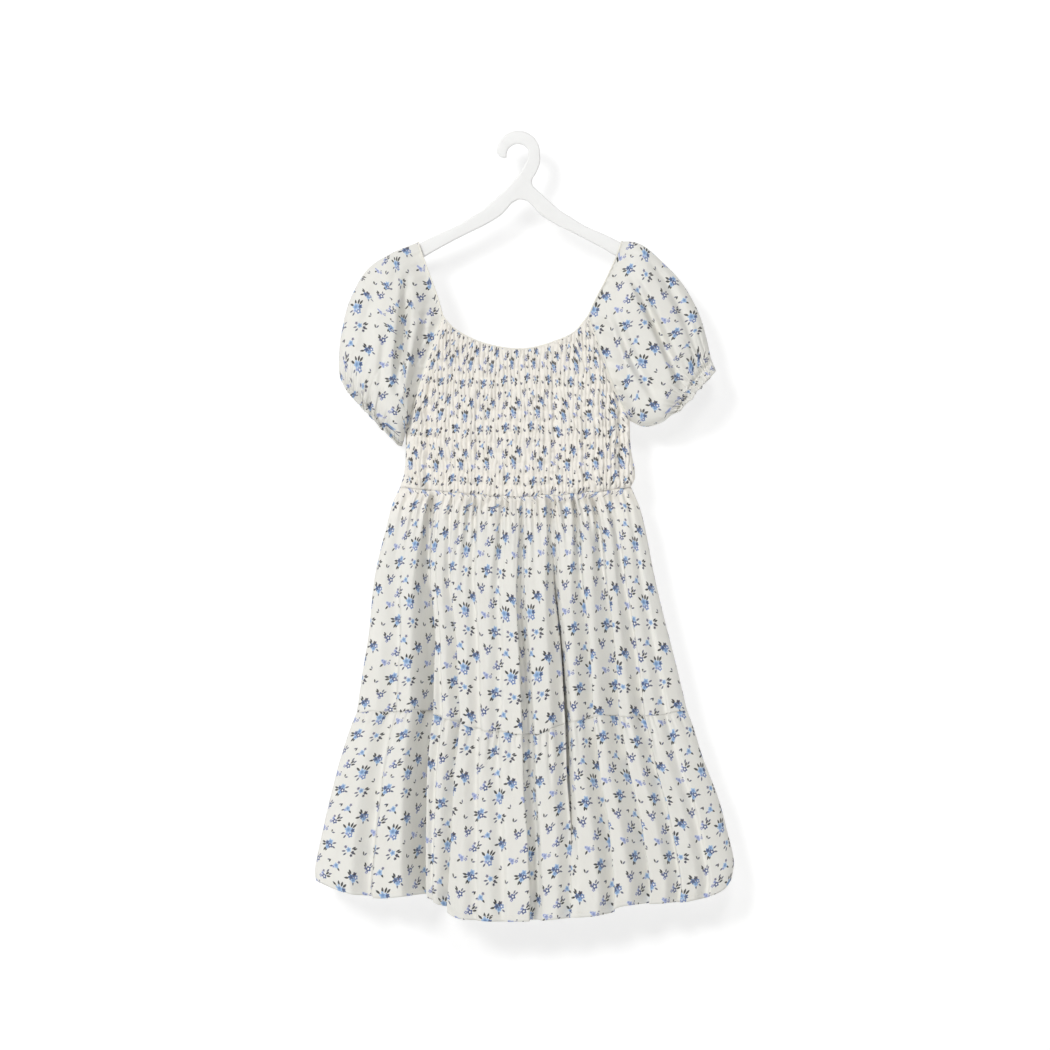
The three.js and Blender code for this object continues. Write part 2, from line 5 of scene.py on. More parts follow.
import bpy
import numpy as np
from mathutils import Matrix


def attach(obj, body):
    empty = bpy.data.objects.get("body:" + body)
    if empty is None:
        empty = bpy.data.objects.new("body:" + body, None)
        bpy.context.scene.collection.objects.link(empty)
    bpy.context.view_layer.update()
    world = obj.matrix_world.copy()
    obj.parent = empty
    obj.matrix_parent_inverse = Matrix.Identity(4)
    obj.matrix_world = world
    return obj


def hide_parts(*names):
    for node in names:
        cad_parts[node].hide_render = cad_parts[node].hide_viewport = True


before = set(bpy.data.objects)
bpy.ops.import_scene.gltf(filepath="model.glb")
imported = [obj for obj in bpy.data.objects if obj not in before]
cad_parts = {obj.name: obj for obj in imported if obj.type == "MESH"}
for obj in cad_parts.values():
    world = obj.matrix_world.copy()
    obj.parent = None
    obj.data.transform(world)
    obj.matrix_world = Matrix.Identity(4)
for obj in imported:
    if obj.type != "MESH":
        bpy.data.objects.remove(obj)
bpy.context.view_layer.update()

bl_info = {
    "name": "Shirred dress on a hanger",
    "version": (1, 0, 0),
    "blender": (4, 5, 0),
    "location": "3D View > Sidebar > Dress",
    "description": "Builds a child's shirred cotton dress, its hanger and the studio round it",
    "category": "Add Mesh",
}

MM = 0.001
SIDES = ((-1, "front"), (1, "back"))
NOISE_CELLS = 64

# Outlines in the front view, each row [x, z] in millimetres from the top of the hook's inside

NECK = [
    [-76, -173], [-68, -182.5], [-52, -193], [-33, -200.5], [-5, -205.5], [13, -204.5],
    [37, -197.5], [55, -189], [69, -173],
]
ARMHOLE_LEFT = [[-76, -173], [-86, -201], [-97, -236], [-106, -266], [-113.5, -288]]
ARMHOLE_RIGHT = [[69, -173], [79.5, -201], [91.5, -236], [103, -262], [111, -277]]
SIDE_LEFT = [[-113.5, -288], [-113.4, -304], [-114, -321], [-116, -333], [-119, -343]]
SIDE_RIGHT = [[111, -277], [112, -304], [116, -326], [116, -335], [112, -343]]
WAIST = [[-119, -343], [-75, -348.5], [-3, -352.5], [70, -348.5], [112, -343]]
SKIRT_LEFT = [
    [-119, -343], [-126.3, -359], [-132.5, -383], [-139, -408], [-145, -438], [-150, -489],
    [-155, -520], [-162, -568],
]
SKIRT_RIGHT = [
    [112, -343], [120.6, -363], [126.7, -387], [135, -430], [145, -473], [153, -504], [159, -528],
    [168, -566],
]
TIER_SEAM = [
    [-162, -568], [-99, -567], [-63, -578], [-19, -587], [11, -590], [43, -579], [81, -571],
    [121, -572], [168, -566],
]
FLOUNCE_LEFT = [
    [-162, -568], [-167, -580], [-178.3, -614], [-188.5, -653], [-197, -690], [-204, -727],
    [-203, -736],
]
FLOUNCE_RIGHT = [
    [168, -566], [174, -582], [184, -614], [199, -653], [208, -686], [215, -718], [213, -734],
]
HEM = [
    [-203, -736], [-173, -747], [-141, -752], [-101, -750], [-80, -758], [-64, -770], [-34, -774],
    [16, -774], [50, -771], [81, -768], [101, -760], [140, -757], [170, -755], [203, -745],
    [213, -734],
]

# Depths from the middle to the front or back, in millimetres
BODICE_DEPTH, NECK_DEPTH, BACK_NECK_DROP = 15.0, 12.0, 3.0
WAIST_DEPTH, TIER_DEPTH, HEM_DEPTH = 15.0, 27.0, 33.0
PUFF_DEPTH, ELASTIC_DEPTH, FRILL_DEPTH = 28.0, 19.0, 23.0
ELASTIC_AT, ARMHOLE_ROUND = 0.93, 0.616
ARMHOLE_SHARE = {"left": 0.68, "right": 0.62}
SEAM_GAP = 0.2

# Main folds of the skirt. Across (0 left edge, 1 right edge) at the waist, the seam between the tiers
# and the hem; depth at those three levels and half-width in millimetres; lean, how far the fold's
# bottom tucks in under its right side (negative: its left side).
FOLD_COLUMNS = ("waist", "tier", "hem", "waist_depth", "tier_depth", "hem_depth", "width", "lean")
FRONT_FOLDS = [
    (0.05, 0.09, 0.115, 3, 10, 17, 12, 0.8),
    (0.15, 0.195, 0.235, 15, 33, 37, 12.5, 1.3),
    (0.18, 0.245, 0.268, 3, 5, 7, 6, 0.6),
    (0.23, 0.297, 0.305, 3, 9, 9, 6.5, 1.0),
    (0.335, 0.36, 0.38, 5, 5, 4, 8, 0.4),
    (0.443, 0.42, 0.445, 5, 5, 5, 9, 0.3),
    (0.522, 0.518, 0.526, 6, 12, 12, 6, -0.9),
    (0.528, 0.529, 0.534, 2, 13, 10, 3.6, 0.0),
    (0.64, 0.612, 0.59, 8, 13, 10, 8, 0.75),
    (0.652, 0.636, 0.606, 4, 33, 3, 6.8, -0.2),
    (0.745, 0.695, 0.688, 7, 14, 15, 9, 0.9),
    (0.83, 0.766, 0.768, 9, 17, 20, 11, 1.0),
    (0.9, 0.85, 0.845, 7, 14, 14, 8.5, 0.9),
    (0.96, 0.925, 0.915, 3, 8, 10, 8, 0.6),
]
BACK_FOLDS = [
    (0.06, 0.08, 0.1, 3, 8, 11, 9, 0.6),
    (0.16, 0.17, 0.19, 6, 15, 17, 10, 0.9),
    (0.25, 0.27, 0.28, 4, 8, 9, 8, -0.5),
    (0.34, 0.36, 0.355, 6, 14, 17, 10, 0.9),
    (0.43, 0.44, 0.44, 3, 7, 8, 8, 0.3),
    (0.52, 0.53, 0.545, 7, 13, 16, 10, -0.9),
    (0.62, 0.62, 0.63, 5, 9, 10, 8, 0.4),
    (0.71, 0.7, 0.705, 3, 7, 9, 8, -0.4),
    (0.8, 0.785, 0.79, 7, 15, 18, 10.5, -0.9),
    (0.88, 0.87, 0.87, 4, 8, 10, 8, 0.4),
    (0.95, 0.935, 0.925, 3, 7, 10, 8, -0.4),
]

# Tiers of the skirt: edges, half depth at the top and bottom and the power of its swell, width at
# the top and bottom, height, small gathers (count, reach, depth, how much wider, soft start), the
# places of front and back on the printed cloth, and the cloth's flat size in metres
TIERS = {
    "skirt": {
        "edges": (WAIST, TIER_SEAM, SKIRT_LEFT, SKIRT_RIGHT),
        "depths": (WAIST_DEPTH, TIER_DEPTH),
        "swell": 0.8,
        "widths": (230.0, 330.0),
        "tall": 225.0,
        "gathers": ((37, 135.0, 7.2, 1.35, 9.0), (17, 190.0, 2.0, 1.0, 0.0)),
        "cloth_starts": {-1: 0.0, 1: 700.0},
        "flat": (0.44, 0.24),
    },
    "flounce": {
        "edges": (TIER_SEAM, HEM, FLOUNCE_LEFT, FLOUNCE_RIGHT),
        "depths": (TIER_DEPTH, HEM_DEPTH),
        "swell": 1.0,
        "widths": (330.0, 416.0),
        "tall": 180.0,
        "gathers": ((46, 75.0, 2.9, 1.0, 0.0), (13, 130.0, 1.8, 1.0, 0.0)),
        "cloth_starts": {-1: 1333.0, 1: 2090.0},
        "flat": (0.52, 0.19),
    },
}
HEM_TURN = 8.0

# Sleeves in the front view. Creases: from, through, end, half-width and depth in millimetres,
# on the front (-1), the back (1) or both (0).
SLEEVES = {
    "left": {
        "hand": -1,
        "armhole": ARMHOLE_LEFT,
        "neck_edge": [[-76, -173], [-83, -149], [-90, -130], [-95, -116], [-101, -98.4]],
        "top": [
            [-101, -98.4], [-130, -110.5], [-152, -126], [-169, -156], [-177, -186], [-180, -214],
            [-179, -233], [-173, -246],
        ],
        "bottom": [[-113.5, -288], [-114.8, -297], [-116.5, -306]],
        "creases": [
            ([-111, -133], [-114, -170], [-121, -246], 8, 18, 0),
            ([-140, -135], [-152, -180], [-155, -225], 11, 6, 0),
            ([-88, -150], [-99, -205], [-112, -262], 7, 12, 0),
            ([-81, -172], [-93, -218], [-109, -268], 7, 8, -1),
            ([-119, -122], [-124, -134], [-125, -150], 6, 2.5, 0),
            ([-132, -190], [-136, -222], [-139, -258], 6.5, 4.5, -1),
            ([-163, -165], [-168, -200], [-166, -232], 8, 3, -1),
            ([-128, -150], [-133, -180], [-131, -215], 9, 3, 1),
        ],
    },
    "right": {
        "hand": 1,
        "armhole": ARMHOLE_RIGHT,
        "neck_edge": [[69, -173], [77, -155], [86, -138], [96, -116], [103, -97.6]],
        "top": [
            [103, -97.6], [112, -97.5], [124, -101.5], [144, -118.5], [163, -139], [180, -169.5],
            [188, -196], [192, -214], [197, -227],
        ],
        "bottom": [[111, -277], [125, -284], [143, -281.5], [157, -271]],
        "creases": [
            ([110, -128], [134, -176], [163, -243], 8, 15, 0),
            ([92, -158], [108, -205], [137, -256], 8.5, 10.5, 0),
            ([128, -112], [158, -160], [179, -214], 8, 9, 0),
            ([86, -180], [99, -222], [117, -262], 8, 3.5, -1),
            ([146, -132], [168, -165], [184, -205], 7, 2.5, -1),
            ([120, -160], [136, -205], [150, -250], 8, 3, 1),
        ],
    },
}
# Gathers of a sleeve at its elastic and at its seam, in shares of the sleeve: reach from and to,
# depth from and to in millimetres, half-width, and how much wider it ends
SLEEVE_GATHERS = ((0.16, 0.55, 2.0, 4.6, 0.0135, 2.2), (0.08, 0.34, 1.0, 2.7, 0.014, 1.6))
SLEEVE_GATHER_COUNT = 31
# Depth of a sleeve's inner end in millimetres, by the share round it
INNER_END_DEPTH = [
    [0, 0], [0.03, 3.6], [0.1, 6.4], [0.25, 9], [0.616, 10.4], [0.8, 8.6], [0.95, 7], [0.995, 6.2],
    [1, 0],
]

# Hanger in the front view: hook circles (x, z, radius), and rows [x, z] or [distance from centre, z]
HANGER_CENTRE, HANGER_THICKNESS, HANGER_ROUNDING = 2.0, 8.0, 1.6
HANGER_POINTS = 620
HOOK_OUTSIDE, HOOK_INSIDE = (-0.8, -8.8, 21.8), (-1.0, -11.5, 11.5)
HOOK_TIP = [[-12.4, -13.4], [-15.5, -13.9], [-19.5, -12.2]]
STEM_RIGHT = [[20.9, -19], [17, -29], [13.4, -35], [13.4, -41]]
STEM_LEFT = [[-7, -38.5], [1.5, -28], [7, -18]]
ARM_TOP = [
    [16, -46], [27, -56], [39, -66.5], [51, -74], [64, -82], [82, -90], [97, -97.3], [103, -101],
    [110, -104.8], [128, -114], [137, -120.5], [141, -127],
]
ARM_BOTTOM = [
    [140, -134], [133, -135], [115, -125], [95, -112], [70, -98], [51, -88.3], [38, -82], [20, -71],
    [8, -58.5],
]


# Curves and patches


def mix(low, high, share):
    """Straight blend from low to high."""
    return low + (high - low) * share


def smooth(share):
    """Ease from 0 to 1: 3t^2 - 2t^3 of the clamped share."""
    share = np.clip(share, 0.0, 1.0)
    return share * share * (3.0 - 2.0 * share)


def bump(offset):
    """A soft hill over -1 to 1: the square of the cosine of a quarter turn times the offset."""
    inside = np.abs(offset) < 1.0
    return np.where(inside, np.cos(0.5 * np.pi * np.clip(offset, -1.0, 1.0)) ** 2, 0.0)


def run_along(points):
    """Distance run along a path, or along each row of a grid, from its first point."""
    steps = np.linalg.norm(np.diff(points, axis=-2), axis=-1)
    return np.concatenate([np.zeros_like(steps[..., :1]), np.cumsum(steps, axis=-1)], axis=-1)


def unit(vectors):
    """The same directions at length 1."""
    return vectors / np.maximum(np.linalg.norm(vectors, axis=-1, keepdims=True), 1e-9)


def curve_through(rows):
    """A centripetal Catmull-Rom curve through the rows, as a function of the share of its length."""
    points = np.array(rows, dtype=float)
    points = np.vstack([2 * points[0] - points[1], points, 2 * points[-1] - points[-2]])
    steps = np.linspace(0.0, 1.0, 48, endpoint=False)[:, None]
    parts = []
    for index in range(1, len(points) - 2):
        before, start, end, after = points[index - 1 : index + 3]
        one, two, three = np.linalg.norm(np.diff(points[index - 1 : index + 3], axis=0), axis=1) ** 0.5
        slope_in = ((start - before) / one - (end - before) / (one + two) + (end - start) / two) * two
        slope_out = ((end - start) / two - (after - start) / (two + three) + (after - end) / three) * two
        square = -3 * start + 3 * end - 2 * slope_in - slope_out
        cube = 2 * start - 2 * end + slope_in + slope_out
        parts.append(start + slope_in * steps + square * steps**2 + cube * steps**3)
    path = np.vstack([*parts, points[-2:-1]])
    lengths = run_along(path)
    shares = lengths / lengths[-1]

    def at(share):
        share = np.clip(share, 0.0, 1.0)
        return np.stack([np.interp(share, shares, path[:, axis]) for axis in (0, 1)], axis=-1)

    return at


def joined(first, second, share_of_first):
    """Two curves end to end, the first taking the given share."""

    def at(share):
        share = np.asarray(share, dtype=float)
        early = first(share / share_of_first)
        late = second((share - share_of_first) / (1.0 - share_of_first))
        return np.where((share < share_of_first)[..., None], early, late)

    return at


def coons_patch(top, bottom, left, right):
    """A patch between four curves: the two straight blends between opposite curves, less the blend
    of the corners."""
    corners = [top(0.0), top(1.0), bottom(0.0), bottom(1.0)]

    def at(across, down):
        over, under = across[..., None], down[..., None]
        between_ends = mix(top(across), bottom(across), under)
        between_sides = mix(left(down), right(down), over)
        at_corners = mix(mix(corners[0], corners[1], over), mix(corners[2], corners[3], over), under)
        return between_ends + between_sides - at_corners

    return at


def round_section(across):
    """Depth across a flat tube, 0 at its edges and 1 in the middle: a superellipse."""
    offset = np.clip(np.abs(2.0 * across - 1.0), 0.0, 1.0)
    return (1.0 - offset**2.6) ** (1 / 2.3)


def spread(count, closer=0.65):
    """Shares from 0 to 1, closer together at both ends: a blend of even steps and a half cosine."""
    even = np.linspace(0.0, 1.0, count + 1)
    return mix(even, 0.5 - 0.5 * np.cos(np.pi * even), closer)


def soft_noise(first, second, seed):
    """Smooth noise from -1 to 1 over two coordinates: random values at whole numbers, eased between."""
    first, second = np.broadcast_arrays(first, second)
    table = np.random.default_rng(seed).uniform(-1.0, 1.0, (NOISE_CELLS, NOISE_CELLS))
    first_cell, second_cell = np.floor(first).astype(int), np.floor(second).astype(int)
    first_ease, second_ease = smooth(first - first_cell), smooth(second - second_cell)

    def corner(step, other_step):
        return table[(first_cell + step) % NOISE_CELLS, (second_cell + other_step) % NOISE_CELLS]

    low = mix(corner(0, 0), corner(1, 0), first_ease)
    high = mix(corner(0, 1), corner(1, 1), first_ease)
    return mix(low, high, second_ease)


def outward(points, side):
    """Unit normals of a grid of points: the cross product of its two directions, turned to the given
    side of Y."""
    normals = unit(np.cross(np.gradient(points, axis=1), np.gradient(points, axis=0)))
    middle = normals[points.shape[0] // 2, points.shape[1] // 2, 1]
    return normals * (1.0 if middle * side > 0 else -1.0)


# Meshes


def link(mesh, name, material):
    """An object of the mesh in the scene, riding on the part's one body."""
    mesh.materials.append(material)
    piece = bpy.data.objects.new(name, mesh)
    bpy.context.scene.collection.objects.link(piece)
    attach(piece, "root")
    return piece


def mesh_of(points, quads, name, cloth=None):
    """A smooth mesh of quads over points in millimetres, with the cloth's own coordinates for each corner."""
    mesh = bpy.data.meshes.new(name)
    mesh.vertices.add(len(points))
    mesh.vertices.foreach_set("co", (np.asarray(points) * MM).ravel())
    mesh.loops.add(quads.size)
    mesh.loops.foreach_set("vertex_index", quads.ravel())
    mesh.polygons.add(len(quads))
    mesh.polygons.foreach_set("loop_start", np.arange(0, quads.size, 4))
    if cloth is not None:
        layer = mesh.uv_layers.new(name="cloth")
        layer.data.foreach_set("uv", (np.asarray(cloth) * MM).ravel())
    mesh.update(calc_edges=True)
    mesh.validate()
    mesh.polygons.foreach_set("use_smooth", np.ones(len(mesh.polygons), dtype=bool))
    return mesh


def cells(grid):
    """The four corners of each cell of a grid, round the cell."""
    return np.stack([grid[:-1, :-1], grid[:-1, 1:], grid[1:, 1:], grid[1:, :-1]], axis=2)


def closed_rings(numbers):
    """Rows of point numbers, each closed by its own first number."""
    return np.hstack([numbers, numbers[:, :1]])


def cloth_piece(points, cloth, side, name, material, thickness):
    """A panel of cloth: the grid of points facing the given side, given its thickness inwards."""
    numbers = np.arange(points[..., 0].size).reshape(points.shape[:2])
    order = [1, 2, 3, 0] if side > 0 else [0, 3, 2, 1]
    quads = cells(numbers)[..., order].reshape(-1, 4)
    mesh = mesh_of(points.reshape(-1, 3), quads, name, cloth.reshape(-1, 2)[quads.ravel()])
    piece = link(mesh, name, material)
    add_thickness(piece, thickness)
    return piece


def add_thickness(piece, thickness):
    """Solidify inwards by the cloth's thickness."""
    solidify = piece.modifiers.new("thickness", "SOLIDIFY")
    solidify.thickness = thickness
    solidify.offset = -1.0


def circle_in(first, second, count):
    """Points of unit circles in the planes of two lists of directions."""
    turns = np.linspace(0.0, 2.0 * np.pi, count, endpoint=False)[None, :, None]
    return np.cos(turns) * first[:, None] + np.sin(turns) * second[:, None]


def square_to(vectors, along):
    """What is left of each vector without its share of the given direction."""
    return vectors - along * np.sum(vectors * along, axis=1, keepdims=True)


def tube_along(path, radii, sides, name, material, closed=False):
    """A round tube carried along a path of points: at each point a circle in the plane square to
    the path, turned towards the front, or aside where the path itself runs to the front."""
    ahead = np.roll(path, -1, axis=0) - np.roll(path, 1, axis=0)
    if not closed:
        ahead[0] = path[1] - path[0]
        ahead[-1] = path[-1] - path[-2]
    ahead = unit(ahead)
    forward = square_to(np.tile([0.0, -1.0, 0.0], (len(path), 1)), ahead)
    weak = np.linalg.norm(forward, axis=1) < 0.15
    forward[weak] = np.cross(ahead[weak], [1.0, 0.0, 0.0])
    forward = unit(forward)
    points = path[:, None] + circle_in(forward, np.cross(ahead, forward), sides) * radii[:, None, None]
    numbers = np.arange(len(path) * sides).reshape(len(path), sides)
    if closed:
        numbers = np.vstack([numbers, numbers[:1]])
    quads = cells(closed_rings(numbers)).reshape(-1, 4)
    return link(mesh_of(points.reshape(-1, 3), quads, name), name, material)


def stitches(starts, ends, normals, radius, name, material):
    """Many short stitches as one mesh: each a six-sided bead of thread that is thin at its ends,
    lying half sunk along the line from its start to its end."""
    along = unit(ends - starts)
    normals = unit(square_to(normals, along))
    shares = np.array([0.0, 0.2, 0.8, 1.0])
    sizes = np.array([0.25, 1.0, 1.0, 0.25]) * radius
    ring = circle_in(normals, np.cross(along, normals), 6)
    centres = starts[:, None] + (ends - starts)[:, None] * shares[None, :, None]
    points = centres[:, :, None] + ring[:, None] * sizes[None, :, None, None]
    numbers = np.arange(points[..., 0].size).reshape(points.shape[:3])
    around = np.concatenate([numbers, numbers[:, :, :1]], axis=2)
    low, high = around[:, :-1], around[:, 1:]
    quads = np.stack([low[..., :-1], low[..., 1:], high[..., 1:], high[..., :-1]], axis=-1)
    caps = ((0, [3, 2, 1, 0]), (0, [0, 5, 4, 3]), (3, [0, 1, 2, 3]), (3, [3, 4, 5, 0]))
    closing = [numbers[:, ring_number, corners] for ring_number, corners in caps]
    mesh = mesh_of(points.reshape(-1, 3), np.concatenate([quads.reshape(-1, 4), *closing]), name)
    return link(mesh, name, material)


# Shapes of the dress


def armhole_depth(share):
    """Depth of the armhole seam by its share from the neckline to the underarm."""
    return SEAM_GAP + 10.2 * np.sqrt(np.maximum(0.0, 1.0 - share**3))


def bodice_surface(side, across, down):
    """The bodice without its shirring: a Coons patch in the front view, whose depth blends
    from the armhole seam's at its edges to the full depth by a superellipse."""
    scoop = curve_through(NECK)
    drop = BACK_NECK_DROP if side > 0 else 0.0

    def neck(share):
        lower = drop * np.sin(np.pi * np.asarray(share))
        return scoop(share) - np.stack([0.0 * lower, lower], axis=-1)

    left = joined(curve_through(ARMHOLE_LEFT), curve_through(SIDE_LEFT), ARMHOLE_SHARE["left"])
    right = joined(curve_through(ARMHOLE_RIGHT), curve_through(SIDE_RIGHT), ARMHOLE_SHARE["right"])
    flat = coons_patch(neck, curve_through(WAIST), left, right)(across, down)
    armhole_share = mix(down / ARMHOLE_SHARE["left"], down / ARMHOLE_SHARE["right"], across)
    edge = armhole_depth(np.minimum(1.0, armhole_share))
    full = mix(NECK_DEPTH, BODICE_DEPTH, smooth(down * 3.0))
    depth = mix(edge, full, round_section(across))
    return np.stack([flat[..., 0] + mix(SEAM_GAP, -SEAM_GAP, across), side * depth, flat[..., 1]], axis=-1)


# Distance between the elastic rows and between the flutes, and their seeds and the places of the
# bodice on the printed cloth by side
SHIRRING_PITCH, FLUTE_PITCH = 10.6, 4.1
FLUTE_SEEDS = {-1: 11, 1: 31}
BODICE_CLOTH_STARTS = {-1: 40.0, 1: 611.0}
# Soft upright troughs of the bodice: x, highest z, lowest z, half-width, depth
BODICE_TROUGHS = [
    (-91, -222, -352, 7, 6.0),
    (101, -240, -330, 6, 5.0),
    (-42, -250, -352, 5, 2.4),
    (-12, -290, -352, 5, 2.0),
    (36, -215, -320, 6, 3.2),
    (66, -250, -352, 5, 2.2),
]


def flutes(x, row, seed):
    """Upright flutes with narrow grooves between them, the root of the cosine's size, uneven in place
    and height and shifted aside a little at each elastic row."""
    wander = 0.4 * soft_noise(x / 8.0, row * 0.42, seed)
    wander = wander + 0.24 * soft_noise(x / 5.0, row * 0.8 + 7.0, seed + 1)
    wander = wander + 0.14 * soft_noise(x / 6.0, np.floor(row) * 5.3 + 2.0, seed + 3)
    taller = 1.0 + 0.5 * soft_noise(x / 4.6, row * 1.3 + 3.0, seed + 2)
    return np.abs(np.cos(np.pi * (x / FLUTE_PITCH + wander))) ** 0.62 * taller


def shirring_relief(x, z, row, edge, side):
    """Height of the shirred cloth: flutes pinched at each elastic row and puffed between rows, less
    the soft upright troughs."""
    puff = np.sin(np.pi * (row - np.floor(row))) ** 0.7
    height = 0.8 * puff + 3.5 * flutes(x, row, FLUTE_SEEDS[side]) * (0.45 + 0.55 * puff)
    for place, high, low, width, depth in BODICE_TROUGHS:
        fade = smooth((high - z) / 25.0) * smooth((z - low) / 20.0 + 0.4)
        height = height - depth * bump((x - place) / width) * fade
    return height * smooth(edge / 5.0)


def waist_sway(across):
    """How far the waist wavers up and down along its length, none at its ends: smooth noise."""
    ends = smooth(np.minimum(across, 1.0 - across) * 20.0)
    return 1.6 * soft_noise(across * 31.0 + 5.0, 3.3, 63) * ends


def bodice_grid(side, columns, rows):
    """The shirred bodice: its surface moved out by the relief, with cloth coordinates drawn together
    across to the gathered width and shifted unevenly by the gathers."""
    across, down = np.meshgrid(spread(columns), np.linspace(0.0, 1.0, rows + 1))
    base = bodice_surface(side, across, down)
    waist = curve_through(WAIST)(across)[..., 1]
    x, z = base[..., 0], base[..., 2].copy()
    row = (z - waist) / SHIRRING_PITCH
    base[..., 2] += waist_sway(across) * (1.0 - smooth((z - waist) / 25.0))
    width = base[:, -1:, 0] - base[:, :1, 0]
    edge = np.minimum(across, 1.0 - across) * width
    relief = shirring_relief(x, z, row, edge, side)
    neck_fade = smooth(down * rows / 3.0 + 0.35)
    points = base + outward(base, side) * (relief * neck_fade)[..., None]
    grain = run_along(points)[rows // 4 :].mean(axis=0)
    shift = 3.5 * soft_noise(x / 15.0 + 9.0, z / 22.0 + 30.0, 51)
    rise = 5.5 * soft_noise(x / 11.0 + 9.0, z / 48.0 + 30.0, 52)
    rise = rise + 1.6 * soft_noise(x / 4.0 + 30.0, z / 30.0 + 30.0, 53)
    over = side * -1.5 * grain + BODICE_CLOTH_STARTS[side] + shift
    cloth = np.stack([over, z * 1.18 + rise + 900.0], axis=-1)
    return points, cloth, row


def fold_values(folds, level, across, width):
    """Depth and sideways shift of the main folds: a soft trough along each fold's line, which
    narrows towards the waist, its bottom moved aside by its lean."""
    inward = np.zeros_like(across)
    aside = np.zeros_like(across)
    lower = np.clip(level - 1.0, 0.0, 1.0)
    upper = np.clip(level, 0.0, 1.0)
    for row in folds:
        fold = dict(zip(FOLD_COLUMNS, row))
        place = mix(mix(fold["waist"], fold["tier"], upper), fold["hem"], lower)
        depth = mix(fold["waist_depth"], fold["tier_depth"], smooth(upper * 1.15))
        depth = mix(depth, fold["hem_depth"], smooth(lower)) * smooth(level / 0.06)
        half = fold["width"] * mix(0.45, 1.0, smooth(upper * 1.3))
        trough = bump((across - place) * width / half)
        inward += depth * trough
        aside += fold["lean"] * half * trough * smooth(upper * 1.6)
    return inward, aside


def gather_values(count, start, reach, across, width, seed, height, wider=1.0):
    """Depth of the small gathers below a seam: narrow troughs of uneven length, depth and spacing that
    start at the seam, widen as they run down and die out."""
    picks = np.random.default_rng(seed)
    places = (np.arange(count) + 0.5 + picks.uniform(-0.33, 0.33, count)) / count
    lengths = reach * picks.uniform(0.25, 1.0, count) ** 1.4
    depths = height * picks.uniform(0.55, 1.15, count)
    drifts = picks.uniform(-0.006, 0.006, count)
    halves = wider * picks.uniform(1.7, 2.6, count)
    inward = np.zeros_like(across)
    for place, length, depth, drift, half in zip(places, lengths, depths, drifts, halves):
        run = np.clip(start / length, 0.0, 1.0)
        fade = smooth(start / 1.5 + 0.3) * (1.0 - smooth(run))
        reach_half = half * (1.0 + 2.0 * run)
        inward += depth * fade * bump((across - place - drift * run) * width / reach_half)
    return inward


def skirt_grid(side, name, folds, levels, columns, seed):
    """One tier of the skirt. In the front view a Coons patch between its four edges; its depth is the
    flat tube's less the folds and gathers. Level 0 is the waist, 1 the tier seam and 2 the hem."""
    tier = TIERS[name]
    upper = name == "skirt"
    across, level = np.meshgrid(spread(columns, 0.45), levels)
    down = level - levels[0]
    fallen = down * tier["tall"]
    depth = mix(*tier["depths"], down ** tier["swell"])
    width = mix(*tier["widths"], down)
    gathers = 0.0
    for number, (count, reach, height, wider, soft) in enumerate(tier["gathers"]):
        made = gather_values(count, fallen, reach, across, width, seed + 5 * number, height, wider)
        gathers = gathers + (smooth(fallen / soft) * made if soft else made)
    flat = coons_patch(*(curve_through(rows) for rows in tier["edges"]))(across, down)
    inward, aside = fold_values(folds, level, across, width)
    drape = 0.9 * soft_noise(across * 13.0, level * 5.0 + 9.0, 81 + side)
    drape = drape + 0.45 * soft_noise(across * 31.0 + 4.0, level * 9.0, 91 + side)
    drape = drape * smooth(level * 22.0)
    below = tier["tall"] - fallen
    pinch = 0.5 * (1.0 - smooth((below if upper else fallen) / 2.5))
    if upper:
        carried = flutes(flat[..., 0], -fallen / SHIRRING_PITCH, FLUTE_SEEDS[side])
        raised = (1.25 * smooth(fallen / 6.0) + 1.57) * carried * (1.0 - smooth(fallen / 34.0))
    else:
        raised = 0.35 * smooth((HEM_TURN - below) / 1.2) - 0.4 * bump((below - HEM_TURN) / 1.6)
    section = round_section(across)
    thick = section * (depth - inward - gathers + drape - pinch + raised)
    near_seam = smooth(down * 5.0 - 4.0) if upper else smooth(1.0 - down * 5.0)
    ride = 1.5 * soft_noise(across * 23.0 + 50.0, 3.3, 61) + 0.8 * soft_noise(across * 61.0, 3.3, 62)
    z = flat[..., 1] + ride * near_seam * smooth(np.minimum(across, 1.0 - across) * 20.0)
    if upper:
        z = z + waist_sway(across) * (1.0 - smooth(fallen / 25.0))
    points = np.stack([flat[..., 0] + aside * section, side * (SEAM_GAP + thick), z], axis=-1)
    lengths = run_along(points)
    grain = lengths * (lengths[int(len(levels) * 0.8), -1] / lengths[:, -1:])
    start = tier["cloth_starts"][side]
    sway = 4.5 * soft_noise(across * 7.0 + 20.0, fallen / 90.0 + 20.0, seed + 7)
    cloth = np.stack([side * -grain + start, start * 0.7 - fallen + sway], axis=-1)
    return points, cloth


def crease_dent(crease, x, z):
    """Dent along a crease: a soft trough round the nearest point of its curve, deepest at its middle."""
    start, through, end, half, depth, _ = crease
    path = curve_through([start, through, end])(np.linspace(0.0, 1.0, 41))
    away = np.hypot(x[..., None] - path[:, 0], z[..., None] - path[:, 1])
    strength = np.sin(np.pi * np.linspace(0.06, 0.94, 41))
    return np.max(depth * strength * bump(away / half), axis=-1)


